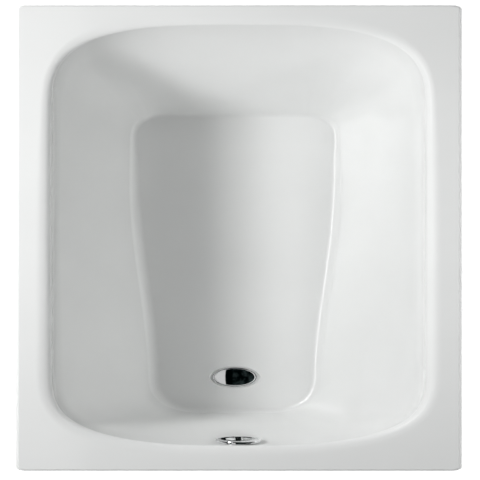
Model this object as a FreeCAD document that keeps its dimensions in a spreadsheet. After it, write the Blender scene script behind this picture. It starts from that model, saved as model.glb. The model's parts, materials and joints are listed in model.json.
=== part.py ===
import FreeCAD, Part
import Sketcher
import math
import os

# Pressed-steel bath, 1700 x 700 mm, with pop-up waste, rotary overflow, trap
# and two leg rails on levelling feet.
# Frame: +X right, +Y towards the sloping back (head end), +Z up. The origin is
# on the ground under the middle of the rim.

os.makedirs("parts", exist_ok=True)
doc = FreeCAD.newDocument("steel_bath")
Vec = FreeCAD.Vector
sheet = doc.addObject("Spreadsheet::Sheet", "Sizes")
row_no = 0


class Dim:
    """A length with its value and the text of the expression that drives it."""

    def __init__(self, val, txt):
        self.val = float(val)
        self.txt = txt

    @staticmethod
    def of(x):
        return x if isinstance(x, Dim) else Dim(x, "%.6g" % x)

    def __add__(self, o):
        o = Dim.of(o)
        return Dim(self.val + o.val, "(%s + %s)" % (self.txt, o.txt))

    def __radd__(self, o):
        return Dim.of(o) + self

    def __sub__(self, o):
        o = Dim.of(o)
        return Dim(self.val - o.val, "(%s - %s)" % (self.txt, o.txt))

    def __rsub__(self, o):
        return Dim.of(o) - self

    def __mul__(self, o):
        o = Dim.of(o)
        return Dim(self.val * o.val, "(%s * %s)" % (self.txt, o.txt))

    def __rmul__(self, o):
        return Dim.of(o) * self

    def __truediv__(self, o):
        o = Dim.of(o)
        return Dim(self.val / o.val, "(%s / %s)" % (self.txt, o.txt))

    def __neg__(self):
        return Dim(-self.val, "(0 - %s)" % self.txt)


def size(alias, value, note):
    global row_no
    row_no += 1
    sheet.set("A%d" % row_no, note)
    sheet.set("B%d" % row_no, "%.6g" % value)
    sheet.setAlias("B%d" % row_no, alias)
    return Dim(value, "Sizes." + alias)


# ---------------------------------------------------------------- sizes (mm)
rim_len = size("rim_length", 1700, "rim length")
rim_wid = size("rim_width", 700, "rim width")
rim_z = size("rim_height", 570, "rim top above ground")
sheet_th = size("sheet_thickness", 3, "enamelled sheet thickness")
skirt_h = size("skirt_height", 34, "turned-down edge height")
rim_corner = size("rim_corner", 16, "outer corner radius of rim")
rim_edge = size("rim_edge_radius", 7, "radius over the outer edge")
roll = size("roll_radius", 18, "roll radius from the wall up to the rim")
ease_at = size("wall_ease_depth", 52, "middle of the wall's upper bend below the rim")
ease_turn = size("wall_ease_turn", 15, "degrees the sides stand up more at the top")
soft_side = size("roll_onto_rim_side", 24, "how far the roll runs onto the rim at the sides")
soft_end = size("roll_onto_rim_end", 38, "how far the roll runs onto the rim at both ends")
crease = size("crease_radius", 22, "radius between floor and walls")
top_half = size("opening_half_width", 294, "half width at wall top")
top_head = size("opening_head", 783, "wall top at head end")
top_foot = size("opening_foot", 761, "wall top at foot end")
bot_half_head = size("floor_half_head", 161.5, "floor half width, head")
bot_half_foot = size("floor_half_foot", 131, "floor half width, foot")
bot_head = size("floor_head", 449, "floor end, head")
bot_foot = size("floor_foot", 635, "floor end, foot")
floor_z = size("floor_height", 170, "floor height at the waste")
fall = size("floor_fall", 0.0105, "fall of the floor towards the waste")
waste_y = size("waste_y", -508, "waste centre along Y")
dish_r = size("dish_radius", 38.5, "pressed recess round the waste")
dish_d = size("dish_depth", 3.5, "depth of the recess")
waste_hole = size("waste_hole_radius", 26, "waste hole in the sheet")
over_depth = size("overflow_depth", 46, "overflow axis below the rim")
over_hole = size("overflow_hole_radius", 26, "overflow hole in the sheet")

flange_r = size("flange_radius", 35.5, "waste flange")
flange_th = size("flange_thickness", 2.0, "waste flange plate")
seal_th = size("upper_seal_thickness", 1.4, "seal under the flange")
tube_r = size("tube_radius", 24.2, "threaded tube of the flange")
tube_in = size("tube_bore", 22.2, "bore of the flange tube")
tube_len = size("tube_length", 28, "tube below the flange plate")
plug_r = size("plug_radius", 32, "plug disc")
plug_th = size("plug_thickness", 7.0, "plug disc at its centre")
plug_dome = size("plug_dome_radius", 112, "radius of the plug's domed face")
stem_r = size("stem_radius", 4, "plug stem")
guide_fit = size("guide_clearance", 0.05, "running clearance of stem")
stem_len = size("stem_length", 52, "plug stem length")
plug_lift = size("plug_lift", 10, "plug travel")

body_r = size("waste_body_radius", 30, "waste body")
body_wall = size("waste_body_wall", 3, "plastic wall")
lower_seal = size("lower_seal_thickness", 3, "seal under the sheet")
branch_z = size("branch_height", 108, "axis of the trap branch")
trap_x = size("trap_x", 118, "trap centre")
trap_r = size("trap_radius", 34, "trap body radius")
trap_top = size("trap_top", 140, "trap body top")
trap_bot = size("trap_bottom", 16, "trap body bottom")
outlet_z = size("outlet_height", 84, "outlet pipe axis")
pipe_r = size("pipe_radius", 20, "outlet pipe outer radius")
pipe_wall = size("pipe_wall", 1.8, "outlet pipe wall")

knob_r = size("knob_radius", 36, "overflow knob")
knob_h = size("knob_height", 10.6, "overflow knob height")
knob_gap = size("knob_gap", 3.2, "gap between knob and wall")
spindle_r = size("spindle_radius", 5, "knob spindle")
hose_r = size("hose_radius", 14.5, "overflow hose outer radius")
hose_wall = size("hose_wall", 2.3, "overflow hose wall")
cable_r = size("cable_radius", 2.6, "sleeve of the pull cable")

rail_y = size("rail_y", 330, "leg rails from the middle")
rail_len = size("rail_length", 440, "leg rail length")
rail_w = size("rail_width", 40, "leg rail width")
rail_h = size("rail_depth", 25, "leg rail depth")
rail_t = size("rail_wall", 2.5, "leg rail wall")
rail_top = size("rail_top", 152, "top of the leg rails")
stud_x = size("stud_x", 80, "welded studs from the middle")
foot_x = size("foot_x", 195, "levelling feet from the middle")
rod_r = size("rod_radius", 5, "threaded rod")
rod_top = size("rod_top", 176, "top of the threaded rod")
pad_r = size("pad_radius", 25, "plastic foot")
pad_h = size("pad_height", 14, "plastic foot height")
mat_th = size("mat_thickness", 3, "anti-drumming mats")
doc.recompute()

kept = {}


def keep(obj):
    kept[obj.Label] = obj
    return obj


# ------------------------------------------------------------ sketch helpers
def origin_plane(body, role):
    return next(o for o in body.Origin.OriginFeatures if o.Role == role)


def sketch_on(body, name, role, lift=None):
    sk = body.newObject("Sketcher::SketchObject", name)
    sk.AttachmentSupport = [(origin_plane(body, role), "")]
    sk.MapMode = "FlatFace"
    if lift is not None:
        lift = Dim.of(lift)
        sk.AttachmentOffset = FreeCAD.Placement(
            Vec(0, 0, lift.val), FreeCAD.Rotation()
        )
        sk.setExpression("AttachmentOffset.Base.z", lift.txt)
    return sk


def pin_point(sk, geo, x, y):
    """Hold the start of a line at x, y from the sketch's origin."""
    x, y = Dim.of(x), Dim.of(y)
    if abs(x.val) < 1e-9:
        sk.addConstraint(Sketcher.Constraint("PointOnObject", geo, 1, -2))
    else:
        k = sk.addConstraint(
            Sketcher.Constraint("DistanceX", -1, 1, geo, 1, x.val)
        )
        sk.setExpression("Constraints[%d]" % k, x.txt)
    if abs(y.val) < 1e-9:
        sk.addConstraint(Sketcher.Constraint("PointOnObject", geo, 1, -1))
    else:
        k = sk.addConstraint(
            Sketcher.Constraint("DistanceY", -1, 1, geo, 1, y.val)
        )
        sk.setExpression("Constraints[%d]" % k, y.txt)


def polygon(sk, pts):
    """Closed outline through the points, each held by its two distances."""
    pts = [(Dim.of(x), Dim.of(y)) for x, y in pts]
    n = len(pts)
    lines = []
    for i in range(n):
        a, b = pts[i], pts[(i + 1) % n]
        lines.append(
            Part.LineSegment(
                Vec(a[0].val, a[1].val, 0), Vec(b[0].val, b[1].val, 0)
            )
        )
    ids = sk.addGeometry(lines, False)
    sk.addConstraint(
        [
            Sketcher.Constraint("Coincident", ids[i], 2, ids[(i + 1) % n], 1)
            for i in range(n)
        ]
    )
    for i in range(n):
        pin_point(sk, ids[i], pts[i][0], pts[i][1])


def circle(sk, x, y, rad):
    x, y, rad = Dim.of(x), Dim.of(y), Dim.of(rad)
    g = sk.addGeometry(
        Part.Circle(Vec(x.val, y.val, 0), Vec(0, 0, 1), rad.val), False
    )
    k = sk.addConstraint(Sketcher.Constraint("Radius", g, rad.val))
    sk.setExpression("Constraints[%d]" % k, rad.txt)
    if abs(x.val) < 1e-9:
        sk.addConstraint(Sketcher.Constraint("PointOnObject", g, 3, -2))
    else:
        k = sk.addConstraint(
            Sketcher.Constraint("DistanceX", -1, 1, g, 3, x.val)
        )
        sk.setExpression("Constraints[%d]" % k, x.txt)
    if abs(y.val) < 1e-9:
        sk.addConstraint(Sketcher.Constraint("PointOnObject", g, 3, -1))
    else:
        k = sk.addConstraint(
            Sketcher.Constraint("DistanceY", -1, 1, g, 3, y.val)
        )
        sk.setExpression("Constraints[%d]" % k, y.txt)


def hexagon(sk, x, y, across):
    x, y, across = Dim.of(x), Dim.of(y), Dim.of(across)
    rad = across / math.sqrt(3.0)
    polygon(
        sk,
        [
            (
                x + rad * math.cos(math.radians(60 * k + 30)),
                y + rad * math.sin(math.radians(60 * k + 30)),
            )
            for k in range(6)
        ],
    )


def rectangle(sk, x, y, w, h):
    x, y, w, h = Dim.of(x), Dim.of(y), Dim.of(w), Dim.of(h)
    polygon(
        sk,
        [
            (x - w / 2, y - h / 2),
            (x + w / 2, y - h / 2),
            (x + w / 2, y + h / 2),
            (x - w / 2, y + h / 2),
        ],
    )


def new_body(label, several=False):
    b = doc.addObject("PartDesign::Body", label)
    b.Label = label
    if several:
        b.AllowCompound = True
    return b


def pad(body, sk, length, name):
    length = Dim.of(length)
    p = body.newObject("PartDesign::Pad", name)
    p.Profile = sk
    p.Length = length.val
    p.setExpression("Length", length.txt)
    body.Tip = p
    sk.Visibility = False
    return p


def turned(label, outline, place=None, final=True):
    """A turned piece: an outline of radius and height, spun about Z."""
    b = new_body(label)
    sk = sketch_on(b, label + "_outline", "XZ_Plane")
    polygon(sk, outline)
    r = b.newObject("PartDesign::Revolution", label + "_turn")
    r.Profile = sk
    r.ReferenceAxis = (sk, ["V_Axis"])
    r.Angle = 360
    b.Tip = r
    if place is not None:
        b.Placement = place
    if final:
        keep(b)
    return b


def at(x, y, z, axis=(0, 0, 1), angle=0):
    x, y, z = Dim.of(x), Dim.of(y), Dim.of(z)
    return FreeCAD.Placement(
        Vec(x.val, y.val, z.val), FreeCAD.Rotation(Vec(*axis), angle)
    )


def rod(name, rad, length, place):
    rad, length = Dim.of(rad), Dim.of(length)
    c = doc.addObject("Part::Cylinder", name)
    c.Radius = rad.val
    c.setExpression("Radius", rad.txt)
    c.Height = length.val
    c.setExpression("Height", length.txt)
    c.Placement = place
    return c


def block(name, lx, ly, lz, place):
    lx, ly, lz = Dim.of(lx), Dim.of(ly), Dim.of(lz)
    b = doc.addObject("Part::Box", name)
    for prop, d in (("Length", lx), ("Width", ly), ("Height", lz)):
        setattr(b, prop, d.val)
        b.setExpression(prop, d.txt)
    b.Placement = place
    return b


def fused(name, parts):
    f = doc.addObject("Part::MultiFuse", name)
    f.Shapes = parts
    return f


def less(name, base, tool):
    c = doc.addObject("Part::Cut", name)
    c.Base = base
    c.Tool = tool
    return c


# --------------------------------------------------------- basin geometry
# Opening outline and floor outline are half outlines from the head centre to
# the foot centre on the +X side. Corners are superellipse quarters.
def quarter(half, y_side, y_end, flat, p, q, n=400):
    """From the end centre to the side: flat end, then the corner."""
    pts = [(0.0, y_end)]
    if flat > 0:
        pts.append((flat, y_end))
    for i in range(1, n + 1):
        a = math.pi / 2 * (1 - i / n)
        x = flat + (half - flat) * max(math.cos(a), 0.0) ** (2.0 / p)
        y = y_side + (y_end - y_side) * max(math.sin(a), 0.0) ** (2.0 / q)
        pts.append((x, y))
    return pts


def top_outline():
    head = quarter(top_half.val, 450.0, top_head.val, 0.0, 3.05, 3.4)
    foot = quarter(top_half.val, 420.0, top_foot.val, 40.0, 2.05, 4.4)
    side = [(top_half.val, 450.0 - k * 10.0) for k in range(1, 87)]
    return head + side + [(x, -y) for x, y in reversed(foot)]


def floor_half(y):
    u = (200.0 - y) / 740.0
    u = min(max(u, 0.0), 1.0)
    s = u * u * (3 - 2 * u)
    return bot_half_head.val + (bot_half_foot.val - bot_half_head.val) * s


def bottom_outline():
    head = quarter(bot_half_head.val, 345.0, bot_head.val, 85.0, 3.2, 3.2)
    foot = quarter(bot_half_foot.val, 505.0, bot_foot.val, 45.0, 2.4, 2.4)
    side = [(floor_half(345.0 - k * 5.0), 345.0 - k * 5.0) for k in range(1, 170)]
    return head + side + [(x, -y) for x, y in reversed(foot)]


def lengths(pts):
    s = [0.0]
    for a, b in zip(pts, pts[1:]):
        s.append(s[-1] + math.hypot(b[0] - a[0], b[1] - a[1]))
    return s


def at_length(pts, s, want):
    lo, hi = 0, len(s) - 1
    while hi - lo > 1:
        mid = (lo + hi) // 2
        if s[mid] <= want:
            lo = mid
        else:
            hi = mid
    f = (want - s[lo]) / max(s[hi] - s[lo], 1e-9)
    return (
        pts[lo][0] + (pts[hi][0] - pts[lo][0]) * f,
        pts[lo][1] + (pts[hi][1] - pts[lo][1]) * f,
    )


def length_at_turn(pts, s, deg):
    """Arc length where the outline has turned by deg from its start."""
    for i in range(1, len(pts) - 1):
        a, b = pts[i], pts[i + 1]
        turn = math.degrees(math.atan2(-(b[1] - a[1]), b[0] - a[0]))
        if turn >= deg:
            return s[i]
    return s[-1]


def smooth_map(xs, ys):
    """Monotone cubic through the pairs."""
    n = len(xs)
    d = [(ys[i + 1] - ys[i]) / (xs[i + 1] - xs[i]) for i in range(n - 1)]
    m = [d[0]] + [0.0] * (n - 2) + [d[-1]]
    for i in range(1, n - 1):
        if d[i - 1] * d[i] > 0:
            w1 = 2 * (xs[i + 1] - xs[i]) + (xs[i] - xs[i - 1])
            w2 = (xs[i + 1] - xs[i]) + 2 * (xs[i] - xs[i - 1])
            m[i] = (w1 + w2) / (w1 / d[i - 1] + w2 / d[i])

    def f(x):
        i = 0
        while i < n - 2 and x > xs[i + 1]:
            i += 1
        w = xs[i + 1] - xs[i]
        u = (x - xs[i]) / w
        return (
            (1 + 2 * u) * (1 - u) ** 2 * ys[i]
            + u * (1 - u) ** 2 * w * m[i]
            + u * u * (3 - 2 * u) * ys[i + 1]
            + u * u * (u - 1) * w * m[i + 1]
        )

    return f


TOP = top_outline()
BOT = bottom_outline()
TOP_S, BOT_S = lengths(TOP), lengths(BOT)
MARKS = (12.0, 45.0, 80.0, 100.0, 135.0, 168.0)
top_marks = [0.0] + [length_at_turn(TOP, TOP_S, d) for d in MARKS] + [TOP_S[-1]]
bot_marks = [0.0] + [length_at_turn(BOT, BOT_S, d) for d in MARKS] + [BOT_S[-1]]
mid_marks = [(a + b) / 2 for a, b in zip(top_marks, bot_marks)]
top_of = smooth_map(mid_marks, top_marks)
bot_of = smooth_map(mid_marks, bot_marks)
SPAN = mid_marks[-1]
STATIONS = 72


def station(mu):
    """Matched points of the floor line and the wall's top line."""
    b = at_length(BOT, BOT_S, bot_of(mu))
    q = at_length(TOP, TOP_S, top_of(mu))
    if mu <= 0:
        b, q = (0.0, BOT[0][1]), (0.0, TOP[0][1])
    if mu >= SPAN:
        b, q = (0.0, BOT[-1][1]), (0.0, TOP[-1][1])
    return b, q


def floor_at(y):
    return floor_z.val + fall.val * (y - waste_y.val)


def meet(p, d, q, e):
    """Crossing of two lines given by point and direction, in 2D."""
    det = d[0] * -e[1] + e[0] * d[1]
    rx, rz = q[0] - p[0], q[1] - p[1]
    a = (rx * -e[1] + e[0] * rz) / det
    return (p[0] + a * d[0], p[1] + a * d[1])


def beside(mu):
    """1 along the sides, 0 at both ends."""
    m = mid_marks
    u = (mu - m[1]) / (m[3] - m[1]) if mu < m[3] else (m[6] - mu) / (m[6] - m[4])
    u = min(max(u, 0.0), 1.0)
    return u * u * (3 - 2 * u)


def upright(mu):
    """How much of the upper bend the wall has: all of it along the sides,
    less at the head and none at the foot, where the overflow needs a flat
    seat."""
    e = beside(mu)
    return 0.45 + 0.55 * e if mu < mid_marks[3] else e


def profile(mu, under):
    """Section in the upright plane through both points: eleven points in mm.

    0-3 cubic for the crease, 3-4 straight wall, 4-7 cubic that stands the
    wall up towards the rim, 7-10 cubic for the roll, which runs further onto
    the rim than down the wall. under is 0 for the face that holds water and
    the sheet thickness for the underside."""
    b, q = station(mu)
    dx, dy = q[0] - b[0], q[1] - b[1]
    run = math.hypot(dx, dy)
    dx, dy = dx / run, dy / run
    zb = floor_at(b[1])
    slope = fall.val * dy
    fn = math.hypot(1, slope)
    f = (-1 / fn, -slope / fn)
    base = (0.0, zb)
    lip = (run, rim_z.val)
    steep = math.atan2(run, rim_z.val - zb) - math.radians(ease_turn.val) * upright(mu)
    v = (math.sin(steep), math.cos(steep))
    bend = (lip[0] - ease_at.val * v[0], lip[1] - ease_at.val * v[1])
    w = (bend[0], bend[1] - zb)
    wn = math.hypot(*w)
    w = (w[0] / wn, w[1] / wn)
    if under:
        n1, n2 = (w[1], -w[0]), (v[1], -v[0])
        k = under / (1 + n1[0] * n2[0] + n1[1] * n2[1])
        base = meet((0.0, zb - under), f, (n1[0] * under, zb + n1[1] * under), w)
        lip = meet((0.0, rim_z.val - under), (1.0, 0.0), (lip[0] + n2[0] * under, lip[1] + n2[1] * under), v)
        bend = (bend[0] + (n1[0] + n2[0]) * k, bend[1] + (n1[1] + n2[1]) * k)
    rb = crease.val + under
    rt = roll.val - under
    ang = math.acos(max(-1, min(1, f[0] * w[0] + f[1] * w[1])))
    tb = rb / math.tan(ang / 2)
    hb = 4.0 / 3.0 * math.tan((math.pi - ang) / 4) * rb
    ang2 = math.acos(max(-1, min(1, -v[0])))
    tt = rt / math.tan(ang2 / 2)
    te = math.hypot(lip[0] - bend[0], lip[1] - bend[1]) - tt
    onto = soft_end.val + (soft_side.val - soft_end.val) * beside(mu)
    tr = onto - under / math.tan(ang2 / 2)
    a0 = (base[0] + tb * f[0], base[1] + tb * f[1])
    a3 = (base[0] + tb * w[0], base[1] + tb * w[1])
    a1 = (a0[0] - hb * f[0], a0[1] - hb * f[1])
    a2 = (a3[0] - hb * w[0], a3[1] - hb * w[1])
    e0 = (bend[0] - te * w[0], bend[1] - te * w[1])
    e1 = (bend[0] - te / 3 * w[0], bend[1] - te / 3 * w[1])
    e2 = (bend[0] + te / 3 * v[0], bend[1] + te / 3 * v[1])
    c0 = (lip[0] - tt * v[0], lip[1] - tt * v[1])
    c1 = (lip[0] - 0.3 * tt * v[0], lip[1] - 0.3 * tt * v[1])
    c2 = (lip[0] + 0.42 * tr, lip[1])
    c3 = (lip[0] + tr, lip[1])
    return [
        Vec(b[0] + dx * h, b[1] + dy * h, z)
        for h, z in (a0, a1, a2, a3, e0, e1, e2, c0, c1, c2, c3)
    ]


MUS = [SPAN * i / STATIONS for i in range(STATIONS + 1)]


def row_curve(pts, params):
    first = Vec((pts[1].x) / (params[1] - params[0]), 0, 0)
    last = Vec(-(pts[-2].x) / (params[-1] - params[-2]), 0, 0)
    c = Part.BSplineCurve()
    c.interpolate(
        Points=pts,
        Parameters=params,
        InitialTangent=first,
        FinalTangent=last,
        Scale=False,
    )
    return c


def surface_rows(under):
    profs = [profile(m, under) for m in MUS]
    for p in (profs[0], profs[-1]):
        for v in p:
            v.x = 0.0
    return [row_curve([p[k] for p in profs], MUS) for k in range(11)]


def band(curves):
    """Surface whose rows of poles are the given curves' poles."""
    poles = [c.getPoles() for c in curves]
    n = len(curves)
    s = Part.BSplineSurface()
    s.buildFromPolesMultsKnots(
        [[poles[k][i] for k in range(n)] for i in range(len(poles[0]))],
        curves[0].getMultiplicities(),
        [n, n],
        curves[0].getKnots(),
        [0.0, 1.0],
        False,
        False,
        curves[0].Degree,
        n - 1,
    )
    return s


def mirrored(shape):
    return shape.mirror(Vec(0, 0, 0), Vec(1, 0, 0))


def both_sides(edge):
    return Part.Wire(Part.__sortEdges__([edge, mirrored(edge)]))


def basin_faces(under):
    rows = surface_rows(under)
    faces = []
    for group in ([0, 1, 2, 3], [3, 4], [4, 5, 6, 7], [7, 8, 9, 10]):
        f = band([rows[k] for k in group]).toShape()
        faces += [f, mirrored(f)]
    low = both_sides(rows[0].toShape())
    high = both_sides(rows[10].toShape())
    return faces, low, high


def rim_block(inset, top, edge_r, corner_r):
    """Rounded slab whose sides and edge roll become the rim's faces."""
    w, l = rim_wid.val - 2 * inset, rim_len.val - 2 * inset
    z0 = rim_z.val - skirt_h.val
    b = Part.makeBox(w, l, top - z0, Vec(-w / 2, -l / 2, z0))
    up = [e for e in b.Edges if abs(e.Vertexes[0].Z - e.Vertexes[1].Z) > 1]
    b = b.makeFillet(corner_r, up)
    over = [
        e
        for e in b.Edges
        if min(v.Z for v in e.Vertexes) > top - 0.01
    ]
    return b.makeFillet(edge_r, over)


def split_block(b, top):
    z0 = rim_z.val - skirt_h.val
    side, top_wire, low_wire = [], None, None
    for f in b.Faces:
        bb = f.BoundBox
        if bb.ZMax - bb.ZMin < 1e-3 and abs(bb.ZMax - top) < 1e-3:
            top_wire = f.OuterWire
        elif bb.ZMax - bb.ZMin < 1e-3 and abs(bb.ZMin - z0) < 1e-3:
            low_wire = f.OuterWire
        else:
            side.append(f)
    return side, top_wire, low_wire


def ring(outer, inner):
    return Part.makeFace([outer, inner], "Part::FaceMakerBullseye")


def make_bath_shell():
    th = sheet_th.val
    wet, wet_low, wet_high = basin_faces(0.0)
    dry, dry_low, dry_high = basin_faces(th)
    out = rim_block(0.0, rim_z.val, rim_edge.val, rim_corner.val)
    inn = rim_block(th, rim_z.val - th, rim_edge.val - th, rim_corner.val - th)
    out_side, out_top, out_low = split_block(out, rim_z.val)
    in_side, in_top, in_low = split_block(inn, rim_z.val - th)
    faces = wet + dry + out_side + in_side
    faces.append(Part.Face(wet_low))
    faces.append(Part.Face(dry_low))
    faces.append(ring(out_top, wet_high))
    faces.append(ring(in_top, dry_high))
    faces.append(ring(out_low, in_low))
    shell = Part.makeShell(faces)
    shell.sewShape()
    if shell.ShapeType == "Compound":
        shell = shell.Shells[0]
    solid = Part.makeSolid(shell)
    if solid.Volume < 0:
        solid.reverse()
    # pressed recess and hole for the waste
    fz, d = floor_z.val, dish_d.val
    yc = waste_y.val
    rr, rb = dish_r.val, dish_r.val - 2.5

    def spun(pts):
        w = Part.makePolygon([Vec(x, 0, z) for x, z in pts + pts[:1]])
        s = Part.Face(w).revolve(Vec(0, 0, 0), Vec(0, 0, 1), 360)
        s.translate(Vec(0, yc, 0))
        return s

    pan = spun(
        [
            (0, fz - d - th),
            (rb + 1.2, fz - d - th),
            (rr + 2.2, fz - th + 0.6),
            (rr + 2.2, fz - 1.2),
            (0, fz - 1.2),
        ]
    )
    hollow = spun([(0, fz - d), (rb, fz - d), (rr + 0.6, fz + 0.6), (rr + 0.6, fz + 4), (0, fz + 4)])
    solid = solid.fuse(pan).cut(hollow)
    solid = solid.cut(
        Part.makeCylinder(waste_hole.val, 60, Vec(0, yc, fz - 40), Vec(0, 0, 1))
    )
    # overflow hole, square to the foot wall
    solid = solid.cut(
        Part.makeCylinder(over_hole.val, 40, OVER - OUT * 20, OUT)
    )
    solid = solid.removeSplitter()
    return solid.Solids[0] if solid.Solids else solid


# foot wall lean and the overflow's own frame on it
foot_b, foot_t = BOT[-1][1], TOP[-1][1]
lean = math.atan2(foot_b - foot_t, rim_z.val - floor_at(foot_b))
OUT = Vec(0, math.cos(lean), math.sin(lean))  # off the wall, into the basin
DOWN = Vec(0, math.sin(lean), -math.cos(lean))  # down the wall
OVER = Vec(0, foot_t + over_depth.val * math.tan(lean), rim_z.val - over_depth.val)
over_rot = FreeCAD.Rotation(Vec(1, 0, 0), -(90 - math.degrees(lean)))


def on_wall(height=0.0, rot=None):
    """Placement with local Z off the foot wall at the overflow."""
    r = over_rot if rot is None else over_rot.multiply(rot)
    return FreeCAD.Placement(OVER + OUT * height, r)


bath = doc.addObject("Part::Feature", "bath_shell")
bath.Label = "bath_shell"
bath.Shape = make_bath_shell()
keep(bath)

# ------------------------------------------------------------- waste fitting
wz = floor_z - dish_d  # bottom of the recess
fl_low = wz + seal_th  # underside of the flange plate
fl_top = fl_low + flange_th
waste_at = at(0, waste_y, 0)

turned(
    "drain_seal_upper",
    [
        (waste_hole + 0.8, wz + 0.02),
        (flange_r - 1.5, wz + 0.02),
        (flange_r - 1.5, fl_low - 0.02),
        (waste_hole + 0.8, fl_low - 0.02),
    ],
    waste_at,
)

# flange, tube and strainer: a turned ring and a cross with a guide boss
ring_b = turned(
    "flange_ring",
    [
        (tube_in, fl_top - tube_len),
        (tube_r, fl_top - tube_len),
        (tube_r, fl_low),
        (flange_r - 0.5, fl_low),
        (flange_r, fl_low + 0.4),
        (flange_r - 0.25, fl_low + 0.95),
        (flange_r - 0.8, fl_top - 0.55),
        (flange_r - 1.7, fl_top - 0.15),
        (plug_r + 0.6, fl_top),
        (plug_r - 3.0, fl_top - 0.9),
        (tube_in + 3.4, fl_top - 1.0),
        (tube_in + 0.9, fl_top - 2.2),
        (tube_in, fl_top - 5.0),
    ],
    None,
    False,
)
cross_z = fl_top - tube_len + 1.0
arm_a = block("strainer_arm_a", 2 * tube_in + 1.0, 2.6, 5, at(-(tube_in + 0.5), -1.3, cross_z))
arm_b = block("strainer_arm_b", 2.6, 2 * tube_in + 1.0, 5, at(-1.3, -(tube_in + 0.5), cross_z))
boss = rod("guide_boss", stem_r + 3.0, 8, at(0, 0, cross_z - 0.5))
guide = rod("guide_bore", stem_r + guide_fit, 20, at(0, 0, cross_z - 6))
flange_all = fused("flange_all", [ring_b, arm_a, arm_b, boss])
drain_flange = less("drain_flange", flange_all, guide)
drain_flange.Label = "drain_flange"
drain_flange.Placement = waste_at
keep(drain_flange)

# plug: domed disc with a boss, carried by its stem
pl = fl_top + 0.5  # underside of the disc's rim


def dome_drop(r):
    return plug_dome.val - math.sqrt(plug_dome.val**2 - r * r)


turned(
    "drain_plug",
    [
        (0, pl - 9.5),
        (7, pl - 9.5),
        (7, pl - 2.4),
        (tube_in - 1.4, pl - 2.4),
        (tube_in - 1.4, pl - 1.0),
        (tube_in + 1.6, pl - 1.0),
        (tube_in + 1.6, pl),
        (plug_r - 0.8, pl),
        (plug_r, pl + 0.5),
        (plug_r, pl + 1.8),
        (plug_r - 0.25, pl + 2.3),
    ]
    + [(plug_r - d, pl + plug_th - dome_drop(plug_r.val - d)) for d in (1.0, 5.0, 10.0, 16.0, 22.0, 27.0)]
    + [(0, pl + plug_th)],
    waste_at,
)
turned(
    "plug_seal",
    [
        (tube_in - 1.38, pl - 2.38),
        (tube_in + 0.6, pl - 2.38),
        (tube_in + 2.9, pl - 1.28),
        (tube_in + 2.9, pl - 1.02),
        (tube_in - 1.38, pl - 1.02),
    ],
    waste_at,
)
st_top = pl - 9.52
turned(
    "plug_stem",
    [
        (0, st_top - stem_len),
        (stem_r - 1.0, st_top - stem_len),
        (stem_r, st_top - stem_len + 1.0),
        (stem_r, st_top),
        (0, st_top),
    ],
    waste_at,
)
nut_b = new_body("stem_locknut")
sk = sketch_on(nut_b, "stem_locknut_outline", "XY_Plane", st_top - 4.5)
hexagon(sk, 0, 0, 13)
circle(sk, 0, 0, stem_r + 0.02)
pad(nut_b, sk, 4.2, "stem_locknut_pad")
nut_b.Placement = waste_at
keep(nut_b)

shell_low = wz - sheet_th
turned(
    "drain_seal_lower",
    [
        (tube_r + 1.0, shell_low - lower_seal),
        (body_r + 6.0, shell_low - lower_seal),
        (body_r + 6.0, shell_low - 0.02),
        (tube_r + 1.0, shell_low - 0.02),
    ],
    waste_at,
)

# waste body: flanged pot with a side branch to the trap, an inlet for the
# overflow hose at the back and a boss for the lever shaft
wb_top = shell_low - lower_seal - 0.02
pot_low = branch_z - 22.0
pot_out = turned(
    "pot_outside",
    [
        (0, pot_low),
        (body_r - 6.0, pot_low),
        (body_r, pot_low + 5.0),
        (body_r, wb_top - 6.0),
        (body_r + 7.0, wb_top - 4.0),
        (body_r + 7.0, wb_top),
        (0, wb_top),
    ],
    None,
    False,
)
pot_in = turned(
    "pot_inside",
    [
        (0, pot_low + 3.0),
        (body_r - 8.0, pot_low + 3.0),
        (body_r - body_wall, pot_low + 7.5),
        (body_r - body_wall, wb_top - 22.0),
        (tube_r + 0.06, wb_top - 19.0),
        (tube_r + 0.06, wb_top + 1.0),
        (0, wb_top + 1.0),
    ],
    None,
    False,
)
hose_in_z = branch_z + 8.0
br_out = rod("branch_outside", 21, 20, at(24, 0, branch_z, (0, 1, 0), 90))
br_in = rod("branch_inside", 18, 40, at(10, 0, branch_z, (0, 1, 0), 90))
hs_out = rod("inlet_outside", 12, 28, at(0, -24, hose_in_z, (1, 0, 0), 90))
hs_in = rod("inlet_inside", 9.6, 50, at(0, -12, hose_in_z, (1, 0, 0), 90))
lever_z = st_top - stem_len - 7.0
lever_y = 17.0
sh_out = rod("shaft_boss", 6, 2 * body_r + 1.0, at(-(body_r + 0.5), lever_y, lever_z, (0, 1, 0), 90))
sh_in = rod("shaft_bore", 3.05, 2 * body_r + 12.0, at(-(body_r + 6.0), lever_y, lever_z, (0, 1, 0), 90))
cable_x = -9.5
cs_out = rod("cable_boss", 4.5, 16, at(cable_x, -20, lever_z - 9.0, (1, 0, 0), 90))
cs_in = rod("cable_bore", 1.2, 40, at(cable_x, -10, lever_z - 9.0, (1, 0, 0), 90))
wb_a = fused("waste_outside", [pot_out, br_out, hs_out, sh_out, cs_out])
wb_b = fused("waste_inside", [pot_in, br_in, hs_in, sh_in, cs_in])
waste_body = less("waste_body", wb_a, wb_b)
waste_body.Label = "waste_body"
waste_body.Placement = waste_at
keep(waste_body)

# lever shaft and the lever that lifts the stem
lever_shaft = rod("lever_shaft", 3, 2 * body_r + 2.4, at(-(body_r + 1.2), waste_y + lever_y, lever_z, (0, 1, 0), 90))
lever_shaft.Label = "lever_shaft"
keep(lever_shaft)

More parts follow.
